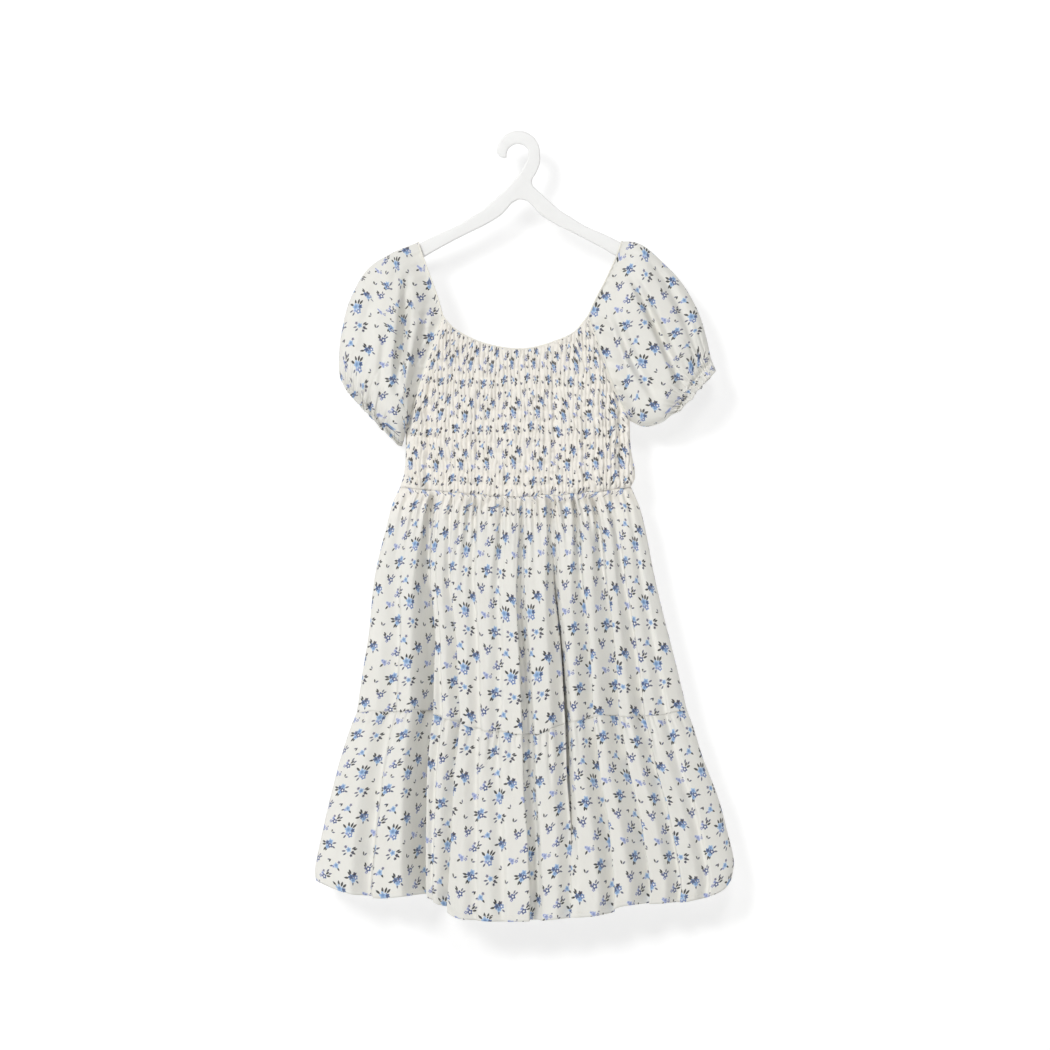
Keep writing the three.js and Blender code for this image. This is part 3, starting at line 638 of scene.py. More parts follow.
def sleeve_half(shape, side, along, round_share, seed):
    """Front or back half of a sleeve. In the front view a Coons patch from the armhole and neck edge to
    the cuff; its depth swells from the inner end to the puff and draws in at the elastic. Creases,
    gathers at both ends and the frill are then taken off or put on."""
    hand = shape["hand"]
    armhole = curve_through(shape["armhole"][::-1])
    inner = joined(armhole, curve_through(shape["neck_edge"]), ARMHOLE_ROUND)
    cuff_low, cuff_high = np.array(shape["bottom"][-1], float), np.array(shape["top"][-1], float)

    def cuff(share):
        share = np.asarray(share, float)
        blunt = 4.5 * np.clip(1.0 - share / 0.12, 0.0, 1.0) ** 2
        ripple = 1.1 * soft_noise(share * 14.0, 5.0, seed + 3) * np.sin(np.pi * share)
        moved = np.stack([-hand * ripple, blunt + ripple], axis=-1)
        return mix(cuff_low, cuff_high, share[..., None]) + moved

    patch = coons_patch(curve_through(shape["bottom"]), curve_through(shape["top"]), inner, cuff)
    flat = patch(along, round_share)
    x, z = flat[..., 0], flat[..., 1]
    swell = smooth(along / 0.22)
    to_elastic = smooth((along - 0.6) / (ELASTIC_AT - 0.6))
    beyond = np.clip((along - ELASTIC_AT) / (1.0 - ELASTIC_AT), 0.0, 1.0)
    full = mix(mix(PUFF_DEPTH, ELASTIC_DEPTH, to_elastic), FRILL_DEPTH, beyond)
    section = round_section(round_share)
    dent = np.zeros_like(x)
    for crease in shape["creases"]:
        if crease[5] in (0, side):
            dent = dent + crease_dent(crease, x, z)
    picks = np.random.default_rng(seed)
    gathers = [np.zeros_like(x), np.zeros_like(x)]
    for number in range(SLEEVE_GATHER_COUNT):
        place = (number + 0.5 + picks.uniform(-0.3, 0.3)) / SLEEVE_GATHER_COUNT
        for made, row, start in zip(gathers, SLEEVE_GATHERS, (ELASTIC_AT - along, along)):
            run = np.clip(start / picks.uniform(*row[0:2]), 0.0, 1.0)
            deep = picks.uniform(*row[2:4]) * (1.0 - smooth(run))
            made += deep * bump((round_share - place) / (row[4] * (1.0 + row[5] * run)))
    gathered = gathers[0] + smooth(along / 0.02) * gathers[1]
    nip = 3.2 * bump((along - ELASTIC_AT) / 0.035)
    frill = 2.6 * beyond * soft_noise(round_share * 27.0, 2.0 + along, seed + 2)
    drape = 0.8 * soft_noise(x / 17.0 + 40.0, z / 23.0 + 90.0, seed + 1)
    inner_end = np.interp(round_share, *np.transpose(INNER_END_DEPTH))
    depth = mix(inner_end, full * section, swell)
    depth = depth - section * (swell * (dent - drape) + gathered + nip + frill)
    clear = np.where((along <= 0.0) & (round_share <= ARMHOLE_ROUND), hand * SEAM_GAP, 0.0)
    return np.stack([x + clear, side * depth, z], axis=-1), flat


LARGEST_STRETCH = 1.9


def sleeve_cloth(flat, points, side):
    """Cloth coordinates of half a sleeve: its front view, stretched outwards from the middle of each
    ring, and along the sleeve from its middle, by how much longer the cloth is than it looks."""
    middle = flat.shape[1] // 2
    flat_step = np.diff(flat[:, middle], axis=0)
    longer = np.diff(run_along(points[:, middle]) - run_along(flat[:, middle]))
    extra = np.cumsum(unit(flat_step) * longer[:, None], axis=0)
    extra = np.concatenate([np.zeros((1, 2)), extra])
    extra = extra - extra[len(extra) // 2]
    seen, real = (
        np.abs(lengths - lengths[:, middle : middle + 1]) for lengths in (run_along(flat), run_along(points))
    )
    stretch = np.where(seen > 1e-6, real / np.maximum(seen, 1e-6), 1.0)
    stretch = np.clip(stretch, 1.0, LARGEST_STRETCH)
    centre = flat[:, middle : middle + 1]
    spread_out = centre + (flat - centre) * stretch[..., None] + extra[:, None]
    return spread_out * np.array([-side, 1.0]) + np.array([3000.0 + 500.0 * side, 800.0])


def sleeve_piece(shape, name, material, thickness, columns, rows, seed):
    """A whole sleeve: its front and back halves joined along the underarm and over the top."""
    along, round_share = np.meshgrid(spread(rows, 0.3), spread(columns, 0.5), indexing="ij")
    front, flat = sleeve_half(shape, -1, along, round_share, seed)
    back, _ = sleeve_half(shape, 1, along, round_share, seed + 40)
    front[:, [0, -1], 1] = 0.0
    ring = np.concatenate([front, back[:, -2:0:-1]], axis=1)
    quads = cells(closed_rings(np.arange(ring[..., 0].size).reshape(ring.shape[:2])))
    cloths = (sleeve_cloth(flat, front, -1), sleeve_cloth(flat, back, 1)[:, ::-1])
    corners = np.concatenate([cells(cloth) for cloth in cloths], axis=1)
    if shape["hand"] > 0:
        quads = quads[..., ::-1]
        corners = corners[:, :, ::-1]
    mesh = mesh_of(ring.reshape(-1, 3), quads.reshape(-1, 4), name, corners.reshape(-1, 2))
    piece = link(mesh, name, material)
    add_thickness(piece, thickness)
    return piece, ring


def row_path(points, row, value):
    """The path over a grid of points where the row number has the given value: in each column the two
    points on either side of it, blended by how far each is. Columns that never reach it are left out."""
    below = np.argmax(row <= value, axis=0)
    columns = np.flatnonzero((below > 0) & (row.min(axis=0) <= value))
    below = below[columns]
    upper, lower = row[below - 1, columns], row[below, columns]
    share = ((upper - value) / np.maximum(upper - lower, 1e-9))[:, None]
    return mix(points[below - 1, columns], points[below, columns], share)


def resample(path, step):
    """Points along a path at even distances of about the given step."""
    lengths = run_along(path)
    count = max(2, int(lengths[-1] / step) + 1)
    places = np.linspace(0.0, lengths[-1], count)
    return np.stack([np.interp(places, lengths, path[:, axis]) for axis in range(3)], axis=-1)


def stitch_line(path, pitch, length, lift):
    """Starts and ends of even stitches along a path, lifted off the cloth towards the outside."""
    middles = resample(path, pitch)
    half = unit(np.gradient(middles, axis=0)) * length / 2.0
    return middles + lift - half, middles + lift + half


def neckline():
    """The whole neck edge as one loop: front bodice, right sleeve over the shoulder, back bodice and
    left sleeve."""

    def over_shoulder(first):
        """The sleeve's neck edge, from the front of the armhole over the top to its back."""
        start = int(np.argmax(spread(len(first) // 2, 0.5) >= ARMHOLE_ROUND))
        return first[start : len(first) - start + 1]

    front, back = (EDGES[f"bodice_{face}"][0][0] for _, face in SIDES)
    right, left = (over_shoulder(EDGES[f"sleeve_{hand}"][0]) for hand in ("right", "left"))
    return np.concatenate([front, right, back[::-1], left[::-1]])


def hanger_outline():
    """The hanger's outline in the front view, clockwise from the hook's tip, as one dense smooth ring."""

    def arc(circle, start, end, steps):
        turns = np.radians(np.linspace(start, end, steps))
        across, up, radius = circle
        return np.stack([across + radius * np.cos(turns), up + radius * np.sin(turns)], axis=-1)

    arm = ARM_TOP + ARM_BOTTOM
    right = [[HANGER_CENTRE + away, z] for away, z in arm]
    left = [[HANGER_CENTRE - away, z] for away, z in arm[::-1]]
    rows = [
        *HOOK_TIP,
        *arc(HOOK_OUTSIDE, 175, 0, 13),
        *STEM_RIGHT,
        *right,
        [HANGER_CENTRE, -55.5],
        *left,
        *STEM_LEFT,
        *arc(HOOK_INSIDE, 25, 185, 11),
    ]
    return curve_through([*rows, rows[0]])(np.linspace(0.0, 1.0, HANGER_POINTS, endpoint=False))


# Materials


class Nodes:
    """Short ways to add shader nodes to a tree: each method adds one node and returns its output."""

    def __init__(self, tree):
        self.tree = tree

    def node(self, kind, inputs=(), **settings):
        """A node with its settings and its inputs, by name or number."""
        node = self.tree.nodes.new(kind)
        for name, value in settings.items():
            setattr(node, name, value)
        self.fill(node.inputs, dict(inputs))
        return node

    def fill(self, sockets, values):
        """Links or sets the named sockets."""
        for key, value in values.items():
            if isinstance(value, bpy.types.NodeSocket):
                self.tree.links.new(value, sockets[key])
            else:
                sockets[key].default_value = value

    def add(self, kind, inputs=(), output=0, **settings):
        return self.node(kind, inputs, **settings).outputs[output]

    def math(self, operation, *values, clamp=False):
        return self.add("ShaderNodeMath", enumerate(values), operation=operation, use_clamp=clamp)

    def times(self, first, second, clamp=False):
        return self.math("MULTIPLY", first, second, clamp=clamp)

    def times_plus(self, first, second, third, clamp=False):
        return self.math("MULTIPLY_ADD", first, second, third, clamp=clamp)

    def minus(self, first, second):
        return self.math("SUBTRACT", first, second)

    def vector(self, operation, *values):
        output = "Value" if operation == "LENGTH" else "Vector"
        return self.add("ShaderNodeVectorMath", enumerate(values), output, operation=operation)

    def scaled(self, vector, factor):
        inputs = {0: vector, "Scale": factor}
        return self.add("ShaderNodeVectorMath", inputs, "Vector", operation="SCALE")

    def blend(self, share, low, high):
        return self.add("ShaderNodeMix", {0: share, 6: low, 7: high}, 2, data_type="RGBA")

    def xyz(self, vector):
        return self.node("ShaderNodeSeparateXYZ", {0: vector}).outputs[:3]

    def table(self, share, rows):
        """A table read by share: a stepped ramp with a row of four numbers from 0 to 1 in each stop.
        Gives the first three as a colour, and the fourth."""
        node = self.node("ShaderNodeValToRGB")
        ramp = node.color_ramp
        ramp.interpolation = "CONSTANT"
        for index, row in enumerate(rows):
            place = index / len(rows)
            stop = ramp.elements[index] if index < 1 else ramp.elements.new(place)
            stop.position = place
            stop.color = row
        ramp.elements.remove(ramp.elements[-1])
        self.fill(node.inputs, {0: share})
        return node.outputs[0], node.outputs[1]

    def group(self, tree, inputs):
        """A node group in use, its inputs by name; returns its outputs."""
        return self.node("ShaderNodeGroup", inputs=inputs, node_tree=tree).outputs

    def noise(self, vector, scale, detail=2.0, roughness=0.5, distortion=0.0):
        names = ("Vector", "Scale", "Detail", "Roughness", "Distortion")
        values = (vector, scale, detail, roughness, distortion)
        return self.add("ShaderNodeTexNoise", zip(names, values), "Fac")

    def wave(self, vector, scale, distortion, direction):
        inputs = {"Vector": vector, "Scale": scale, "Distortion": distortion}
        return self.add("ShaderNodeTexWave", inputs, "Fac", bands_direction=direction)

    def bump(self, strength, distance, height):
        inputs = {"Strength": strength, "Distance": distance, "Height": height}
        return self.add("ShaderNodeBump", inputs, "Normal")

    def place(self):
        return self.add("ShaderNodeTexCoord", output="Object")


VECTOR, FLOAT, COLOR = "NodeSocketVector", "NodeSocketFloat", "NodeSocketColor"


def new_group(name, inputs, outputs):
    """A shader node group with the given sockets by kind: the helper for its nodes, the sockets that
    enter and those that leave."""
    group = bpy.data.node_groups.new(name, "ShaderNodeTree")
    for way, kinds in (("INPUT", inputs), ("OUTPUT", outputs)):
        for kind, sockets in kinds.items():
            for socket in sockets:
                group.interface.new_socket(socket, in_out=way, socket_type=kind)
    entry = group.nodes.new("NodeGroupInput")
    leave = group.nodes.new("NodeGroupOutput")
    return Nodes(group), entry.outputs, leave.inputs


def bloom_group():
    """One five-petalled bloom laid over what is under it. Its edge is the radius times
    0.91 + 0.17 cos(5 angle); petals shade from a deeper throat to paler tips, and some have a pale eye."""
    inputs = {
        VECTOR: ("Place", "Centre"),
        FLOAT: ("Radius", "Tone", "Under cover"),
        COLOR: ("Under",),
    }
    n, entry, leave = new_group("bloom", inputs, {COLOR: ("Color",), FLOAT: ("Cover",)})
    away = n.vector("SUBTRACT", entry["Place"], entry["Centre"])
    distance = n.vector("LENGTH", away)
    x, y, _ = n.xyz(away)
    wave = n.math("COSINE", n.times_plus(n.math("ARCTAN2", y, x), 5.0, entry["Radius"]))
    edge = n.times(entry["Radius"], n.times_plus(wave, 0.17, 0.91))
    cover = n.times(n.minus(edge, distance), 3.5, clamp=True)
    share = n.math("DIVIDE", distance, entry["Radius"], clamp=True)
    petals, _ = n.table(entry["Tone"], [petal for petal, _, _ in TONES])
    throats, eyes = n.table(entry["Tone"], [(*throat[:3], eye) for _, throat, eye in TONES])
    petal = n.blend(n.times_plus(share, 2.2, -0.5, clamp=True), throats, petals)
    inner = n.minus(n.times(eyes, 0.38), share)
    petal = n.blend(n.times(inner, 9.0, clamp=True), petal, PALE_EYE)
    color = n.blend(cover, entry["Under"], petal)
    n.fill(leave, {"Color": color, "Cover": n.math("MAXIMUM", cover, entry["Under cover"])})
    return n.tree


def leaves_group():
    """A fan of pointed leaves laid over what is under it. The angle from the first leaf is folded into
    steps, a little uneven in angle and distance by the sine of the leaf's number, and a leaf is inside
    where (radial / half length)^2 + |sideways| / half width < 1."""
    inputs = {
        VECTOR: ("Place",),
        FLOAT: ("Turn", "Count", "Distance", "Half length", "Width", "Under cover"),
        COLOR: ("Leaf", "Under"),
    }
    n, entry, leave = new_group("leaves", inputs, {COLOR: ("Color",), FLOAT: ("Cover",)})
    turn = {"Vector": entry["Place"], "Angle": n.times(entry["Turn"], -1.0)}
    turned = n.add("ShaderNodeVectorRotate", turn, rotation_type="Z_AXIS")
    distance = n.vector("LENGTH", turned)
    x, y, _ = n.xyz(turned)
    angle = n.math("ARCTAN2", y, x)
    number = n.math("ROUND", n.math("DIVIDE", angle, LEAF_STEP))
    number = n.math("MAXIMUM", 0.0, n.math("MINIMUM", number, n.minus(entry["Count"], 1.0)))
    uneven = n.math("SINE", n.times_plus(number, 2.6, entry["Turn"]))
    folded = n.times_plus(uneven, -0.14, n.minus(angle, n.times(number, LEAF_STEP)))
    middle = n.times_plus(uneven, 0.6, entry["Distance"])
    aside = n.times(n.math("ABSOLUTE", n.math("SINE", folded)), distance)
    aside = n.math("DIVIDE", aside, n.times(entry["Half length"], entry["Width"]))
    forward = n.times(n.math("COSINE", folded), distance)
    radial = n.math("DIVIDE", n.minus(forward, middle), entry["Half length"])
    inside = n.minus(1.0, n.times_plus(radial, radial, aside))
    cover = n.times(inside, 3.6, clamp=True)
    cover = n.times(cover, n.math("GREATER_THAN", entry["Count"], 0.5))
    color = n.blend(cover, entry["Under"], entry["Leaf"])
    n.fill(leave, {"Color": color, "Cover": n.math("MAXIMUM", cover, entry["Under cover"])})
    return n.tree


def nearer_group():
    """Of the nearest motif so far and one more, keeps the nearer, allowing for how large each is. The
    place from a motif's centre is wrapped into the repeat of the print."""
    inputs = {
        VECTOR: ("Cloth", "Centre", "Best place"),
        FLOAT: ("Size", "Number", "Best distance", "Best number"),
    }
    outputs = {VECTOR: ("Place",), FLOAT: ("Distance", "Number")}
    n, entry, leave = new_group("nearer motif", inputs, outputs)
    half = (PRINT_REPEAT[0] / 2.0, PRINT_REPEAT[1] / 2.0, 1.0)
    minus = tuple(-value for value in half)
    place = n.vector("WRAP", n.vector("SUBTRACT", entry["Cloth"], entry["Centre"]), half, minus)
    distance = n.minus(n.vector("LENGTH", place), entry["Size"])
    nearer = n.math("LESS_THAN", distance, entry["Best distance"])
    kept = n.scaled(entry["Best place"], n.minus(1.0, nearer))
    change = n.minus(entry["Number"], entry["Best number"])
    best = {
        "Place": n.vector("ADD", kept, n.scaled(place, nearer)),
        "Distance": n.math("MINIMUM", distance, entry["Best distance"]),
        "Number": n.times_plus(change, nearer, entry["Best number"]),
    }
    n.fill(leave, best)
    return n.tree


# The print's repeat in millimetres, the angle between the leaves of a fan, and the motifs:
# centre across and up and size, then its fans of dark and of grey leaves, each the angle of the first
# leaf, how many, distance and half length, then its blooms, each across and up, radius and tone
PRINT_REPEAT = (57.0, 58.0)
LEAF_STEP = math.radians(31.0)
NO_BLOOM = (0.0, 0.0, 0.0, 0)
MOTIFS = {
    "posy": (
        ((0.0, 0.0, 6.5), (42, 4, 6.7, 3.1), (208, 2, 6.8, 2.4)),
        ((-1.8, -2.2, 2.1, 1), (3.6, 1.0, 2.5, 2), (1.9, -3.6, 2.8, 5), (-0.9, 1.5, 3.7, 0)),
    ),
    "pale blossom": (
        ((27.5, -1.5, 3.5), (232, 1, 4.6, 2.6), (20, 1, 6.4, 2.1)),
        ((-2.5, 1.9, 1.6, 1), (4.4, -0.5, 1.9, 4), (0.5, -2.0, 1.5, 1), (0.0, 0.3, 2.6, 1)),
    ),
    "dark posy": (
        ((38.0, -17.0, 6.0), (168, 4, 6.0, 2.9), (-14, 2, 6.3, 2.5)),
        ((1.6, 3.2, 2.9, 0), (-1.9, 1.3, 2.5, 2), (-1.1, -2.9, 2.5, 0), (1.9, -0.9, 2.7, 6)),
    ),
    "branch": (
        ((4.0, -18.5, 6.0), (-22, 3, 5.6, 2.6), (196, 2, 6.0, 2.4)),
        ((-4.4, 3.0, 1.8, 3), (3.6, -1.5, 1.8, 7), (2.6, -4.6, 1.6, 7), (-0.9, 0.7, 2.7, 0)),
    ),
    "ring flower": (
        ((27.5, -35.0, 4.0), (118, 2, 4.8, 2.4), (30, 2, 4.9, 2.2)),
        ((-0.7, -3.0, 1.8, 4), (-2.6, 0.8, 1.7, 3), NO_BLOOM, (0.6, 0.1, 2.9, 6)),
    ),
    "blue blossom": (
        ((-6.5, -35.5, 3.5), (318, 1, 4.6, 2.5), (205, 1, 5.4, 2.2)),
        ((2.4, 3.5, 1.7, 3), (-2.6, -2.0, 1.5, 1), (1.5, -1.7, 1.4, 0), (0.0, 0.0, 2.7, 0)),
    ),
    "round posy": (
        ((12.5, -43.5, 6.0), (120, 3, 6.0, 2.8), (285, 2, 6.1, 2.3)),
        ((1.2, 2.9, 2.5, 7), (0.6, -2.4, 2.7, 0), (-2.1, 0.4, 2.8, 2), (3.0, 0.1, 2.5, 5)),
    ),
    "ring flower on a sprig": (
        ((39.0, -50.0, 6.0), (12, 2, 5.2, 2.7), (28, 2, 7.6, 2.4)),
        ((-3.9, -0.9, 1.9, 4), (-0.9, 5.0, 1.6, 3), (-1.7, 2.5, 1.8, 1), (0.4, -0.3, 2.8, 6)),
    ),
    "leaf pair": (((20.5, -23.0, 0.0), (95, 1, 1.9, 2.3), (35, 1, 2.1, 2.2)), [NO_BLOOM] * 4),
    "leaf pair below": (((43.5, -31.5, 0.0), (255, 1, 1.8, 2.2), (195, 1, 2.0, 2.1)), [NO_BLOOM] * 4),
    "leaf pair above": (((38.5, -4.5, 0.0), (75, 1, 1.9, 2.2), (10, 1, 2.1, 2.1)), [NO_BLOOM] * 4),
    "leaf pair aside": (((15.5, -9.5, 0.0), (165, 1, 1.8, 2.0), (100, 1, 2.0, 1.9)), [NO_BLOOM] * 4),
}
LEAF_NAVY = (0.005, 0.006, 0.01, 1.0)
LEAF_GREY = (0.075, 0.085, 0.15, 1.0)
PALE_EYE = (0.86, 0.86, 0.83, 1.0)
# Tones of the blooms: petal, throat, size of the pale eye
TONES = [
    ((0.35, 0.52, 0.76, 1.0), (0.12, 0.25, 0.5, 1.0), 0.0),
    ((0.42, 0.48, 0.74, 1.0), (0.2, 0.26, 0.5, 1.0), 0.0),
    ((0.07, 0.15, 0.34, 1.0), (0.022, 0.05, 0.15, 1.0), 0.0),
    ((0.27, 0.27, 0.38, 1.0), (0.09, 0.085, 0.15, 1.0), 0.0),
    ((0.32, 0.35, 0.56, 1.0), (0.13, 0.15, 0.33, 1.0), 0.8),
    ((0.14, 0.24, 0.5, 1.0), (0.05, 0.1, 0.3, 1.0), 1.0),
    ((0.035, 0.075, 0.25, 1.0), (0.018, 0.033, 0.13, 1.0), 1.0),
    ((0.03, 0.032, 0.09, 1.0), (0.01, 0.01, 0.03, 1.0), 0.0),
]


def print_group(nearer, bloom, leaves):
    """The small flower print: finds the nearest motif of the repeat, then lays its grey leaves, dark
    leaves and four blooms over each other. Place on the cloth is in metres. A table's numbers are
    packed into 0 to 1 and unpacked again: turns by 720 degrees, counts by 8, distances by 10, half
    lengths and radii by 4, and places by 16 millimetres."""
    inputs = {VECTOR: ("Cloth",), FLOAT: ("Leaf width",)}
    n, entry, leave = new_group("flower print", inputs, {COLOR: ("Color",), FLOAT: ("Cover",)})
    cloth = n.scaled(entry["Cloth"], 1.0 / MM)
    best = {"Place": (0.0, 0.0, 0.0), "Distance": 1000.0, "Number": 0.0}
    for index, ((where, _, _), _) in enumerate(MOTIFS.values()):
        across, up, size = where
        row = {"Cloth": cloth, "Centre": (across, up, 0.0), "Size": size, "Number": index + 0.5}
        row.update({f"Best {key.lower()}": best[key] for key in ("Place", "Distance", "Number")})
        best = n.group(nearer, row)
    motif = n.math("DIVIDE", best["Number"], float(len(MOTIFS)))

    made = {"Color": (0.8, 0.8, 0.8, 1.0), "Cover": 0.0}
    for column, leaf in ((2, LEAF_GREY), (1, LEAF_NAVY)):
        fans = [leaves_of[column] for leaves_of, _ in MOTIFS.values()]
        rows = [
            (turn / 720.0 + 0.5, count / 8.0, away / 10.0, half / 4.0)
            for turn, count, away, half in fans
        ]
        three, half = n.table(motif, rows)
        turn, count, away = n.xyz(three)
        row = {
            "Place": best["Place"],
            "Turn": n.times(n.minus(turn, 0.5), 4.0 * math.pi),
            "Count": n.times(count, 8.0),
            "Distance": n.times(away, 10.0),
            "Half length": n.times(half, 4.0),
            "Width": entry["Leaf width"],
            "Leaf": leaf,
            "Under": made["Color"],
            "Under cover": made["Cover"],
        }
        made = n.group(leaves, row)
    for layer in range(4):
        rows = [
            (across / 16.0 + 0.5, up / 16.0 + 0.5, radius / 4.0, (tone + 0.5) / len(TONES))
            for across, up, radius, tone in (blooms[layer] for _, blooms in MOTIFS.values())
        ]
        three, tone = n.table(motif, rows)
        across, up, radius = n.xyz(three)
        centre = [n.times_plus(share, 16.0, -8.0) for share in (across, up)]
        row = {
            "Place": best["Place"],
            "Centre": n.add("ShaderNodeCombineXYZ", enumerate(centre)),
            "Radius": n.times_plus(radius, 4.12, 0.001),
            "Tone": tone,
            "Under": made["Color"],
            "Under cover": made["Cover"],
        }
        made = n.group(bloom, row)
    n.fill(leave, {"Color": made["Color"], "Cover": made["Cover"]})
    return n.tree


def new_material(name):
    """A material, the helper for its nodes and the sockets of its Principled shader."""
    material = bpy.data.materials.new(name)
    material.use_nodes = True
    return material, Nodes(material.node_tree), material.node_tree.nodes["Principled BSDF"].inputs


def cotton_material(name, printed, ground, shade, crinkle, leaf_width=0.43, waist=None):
    """Printed cotton: an ivory ground with faint slubs, the flower print, a plain weave too fine to
    count from a step away, and the soft crinkles of washed cloth. The two tones of the waist, where
    given, blend into the cloth over the first 50 mm below it."""
    material, n, shader = new_material(name)
    cloth = n.add("ShaderNodeUVMap", uv_map="cloth")
    if waist is not None:
        near = n.times_plus(n.xyz(n.place())[2], 20.0, 7.95, clamp=True)
        near = n.math("POWER", near, 1.6)
        ground, shade = n.blend(near, ground, waist[0]), n.blend(near, shade, waist[1])

    def along(share, *noise):
        """Noise stretched along the cloth."""
        return n.noise(n.vector("MULTIPLY", cloth, (1.0, share, 1.0)), *noise)

    tone = along(0.3, 55.0, 3.0, 0.6)
    slubs = along(0.06, 900.0, 2.0, 0.6)
    base = n.blend(n.times_plus(tone, 1.6, -0.3, clamp=True), shade, ground)
    base = n.blend(n.times(slubs, 0.10), base, shade)
    made = n.group(printed, {"Cloth": cloth, "Leaf width": leaf_width})
    faded = n.times(made["Cover"], n.times_plus(slubs, -0.25, 1.02, clamp=True))
    weave = n.math("ADD", n.wave(cloth, 420.0, 1.5, "X"), n.wave(cloth, 380.0, 1.5, "Y"))
    creases = along(0.35, 95.0, 4.0, 0.62, 0.6)
    fine = n.noise(cloth, 420.0, 2.0, 0.6)
    height = n.times_plus(fine, 0.12, n.times(weave, 0.035))
    height = n.times_plus(creases, crinkle, height)
    look = {
        "Base Color": n.blend(faded, base, made["Color"]),
        "Normal": n.bump(0.6, 0.0016, height),
        "Roughness": n.times_plus(fine, 0.12, 0.8),
        "Specular IOR Level": 0.18,
        "Sheen Weight": 0.12,
        "Sheen Roughness": 0.5,
    }
    n.fill(shader, look)
    return material


def thread_material(name, color):
    """Cotton thread: a twisted bump on the object's own coordinates and a slight change of tone."""
    material, n, shader = new_material(name)
    place = n.place()
    paler = tuple(min(1.0, value * 1.08) for value in color[:3]) + (1.0,)
    look = {
        "Base Color": n.blend(n.noise(place, 260.0), color, paler),
        "Normal": n.bump(0.3, 0.0003, n.wave(place, 500.0, 2.0, "DIAGONAL")),
        "Roughness": 0.75,
    }
    n.fill(shader, look)
    return material


def plastic_material(name, color):
    """Moulded white plastic: satin, with faint orange peel and a little unevenness in its gloss."""
    material, n, shader = new_material(name)
    place = n.place()
    cloud = n.noise(place, 22.0, 3.0)
    shade = tuple(value * 0.975 for value in color[:3]) + (1.0,)
    flow = n.noise(n.vector("MULTIPLY", place, (1.0, 1.0, 0.25)), 60.0)
    look = {
        "Base Color": n.blend(cloud, shade, color),
        "Normal": n.bump(0.08, 0.0004, n.times_plus(flow, 0.5, n.noise(place, 520.0))),
        "Roughness": n.times_plus(cloud, 0.14, 0.36),
    }
    n.fill(shader, look)
    return material


def backdrop_material():
    """White on the side that faces the camera and clear on the other, so it never hides the back."""
    material, n, shader = new_material("white backdrop")
    look = {
        "Base Color": (0.47, 0.47, 0.47, 1.0),
        "Roughness": 1.0,
        "Specular IOR Level": 0.0,
        "Emission Color": (1.0, 1.0, 1.0, 1.0),
        "Emission Strength": 0.61,
    }
    n.fill(shader, look)
    front = n.tree.nodes["Principled BSDF"].outputs[0]
    behind = n.add("ShaderNodeNewGeometry", output="Backfacing")
    both = n.add("ShaderNodeMixShader", {0: behind, 1: front, 2: n.add("ShaderNodeBsdfTransparent")})
    n.fill(n.tree.nodes["Material Output"].inputs, {"Surface": both})
    return material


def floor_material():
    """Pale matt floor."""
    material, n, shader = new_material("pale floor")
    n.fill(shader, {"Base Color": (0.86, 0.86, 0.85, 1.0), "Roughness": 0.9})
    return material


# Settings


A_COLOR = {"size": 3, "subtype": "COLOR", "min": 0, "max": 1}
A_POWER = {"min": 0.0, "unit": "POWER"}


class DressSettings(bpy.types.PropertyGroup):
    """Sizes and colours of the dress."""

    thickness: bpy.props.FloatProperty(
        name="Cloth thickness",
        description="Thickness of the cotton",
        default=0.0006,
        min=0.0002,
        max=0.0014,
        unit="LENGTH",
    )
    ground: bpy.props.FloatVectorProperty(
        name="Ground", description="Colour of the cotton", default=(0.815, 0.81, 0.77), **A_COLOR
    )
    ground_shade: bpy.props.FloatVectorProperty(
        name="Ground shade", description="Its deeper tone", default=(0.78, 0.765, 0.715), **A_COLOR
    )
    shirred: bpy.props.FloatVectorProperty(
        name="Shirred ground",
        description="Colour of the shirred cotton",
        default=(0.91, 0.88, 0.825),
        **A_COLOR,
    )
    shirred_shade: bpy.props.FloatVectorProperty(
        name="Shirred shade", description="Its deeper tone", default=(0.85, 0.815, 0.75), **A_COLOR
    )
    thread: bpy.props.FloatVectorProperty(
        name="Thread", description="Colour of the thread", default=(0.82, 0.8, 0.73), **A_COLOR
    )
    columns: bpy.props.IntProperty(
        name="Columns", description="Grid columns of a skirt panel", default=320, min=60, max=420
    )


class HangerSettings(bpy.types.PropertyGroup):
    """Colour and rounding of the hanger."""

    color: bpy.props.FloatVectorProperty(
        name="Plastic", description="Colour of the plastic", default=(0.88, 0.88, 0.87), **A_COLOR
    )
    rounding: bpy.props.FloatProperty(
        name="Rounding",
        description="Radius of the moulded edges",
        default=HANGER_ROUNDING * MM,
        min=0.0,
        max=0.0035,
        unit="LENGTH",
    )


class StudioSettings(bpy.types.PropertyGroup):
    """Camera distance and the strength of the light."""

    distance: bpy.props.FloatProperty(
        name="Camera distance",
        description="From the hanger's plane",
        default=4.0,
        min=1.0,
        max=10.0,
        unit="LENGTH",
    )
    key: bpy.props.FloatProperty(
        name="Key light", description="Watts of the key light", default=298.0, **A_POWER
    )
    above: bpy.props.FloatProperty(
        name="Light above", description="Watts of the light above", default=30.0, **A_POWER
    )
    back: bpy.props.FloatProperty(
        name="Back light", description="Watts of the light behind", default=34.0, **A_POWER
    )
    sky: bpy.props.FloatProperty(
        name="Sky", description="Strength of the even light all round", default=0.22, min=0.0
    )


def rgba(color):
    return (*color, 1.0)


def material_named(name, make, *values):
    """The material of that name, made on first use."""
    return bpy.data.materials.get(name) or make(name, *values)


def printed_cloth():
    return bpy.data.node_groups.get("flower print") or print_group(
        nearer_group(), bloom_group(), leaves_group()
    )


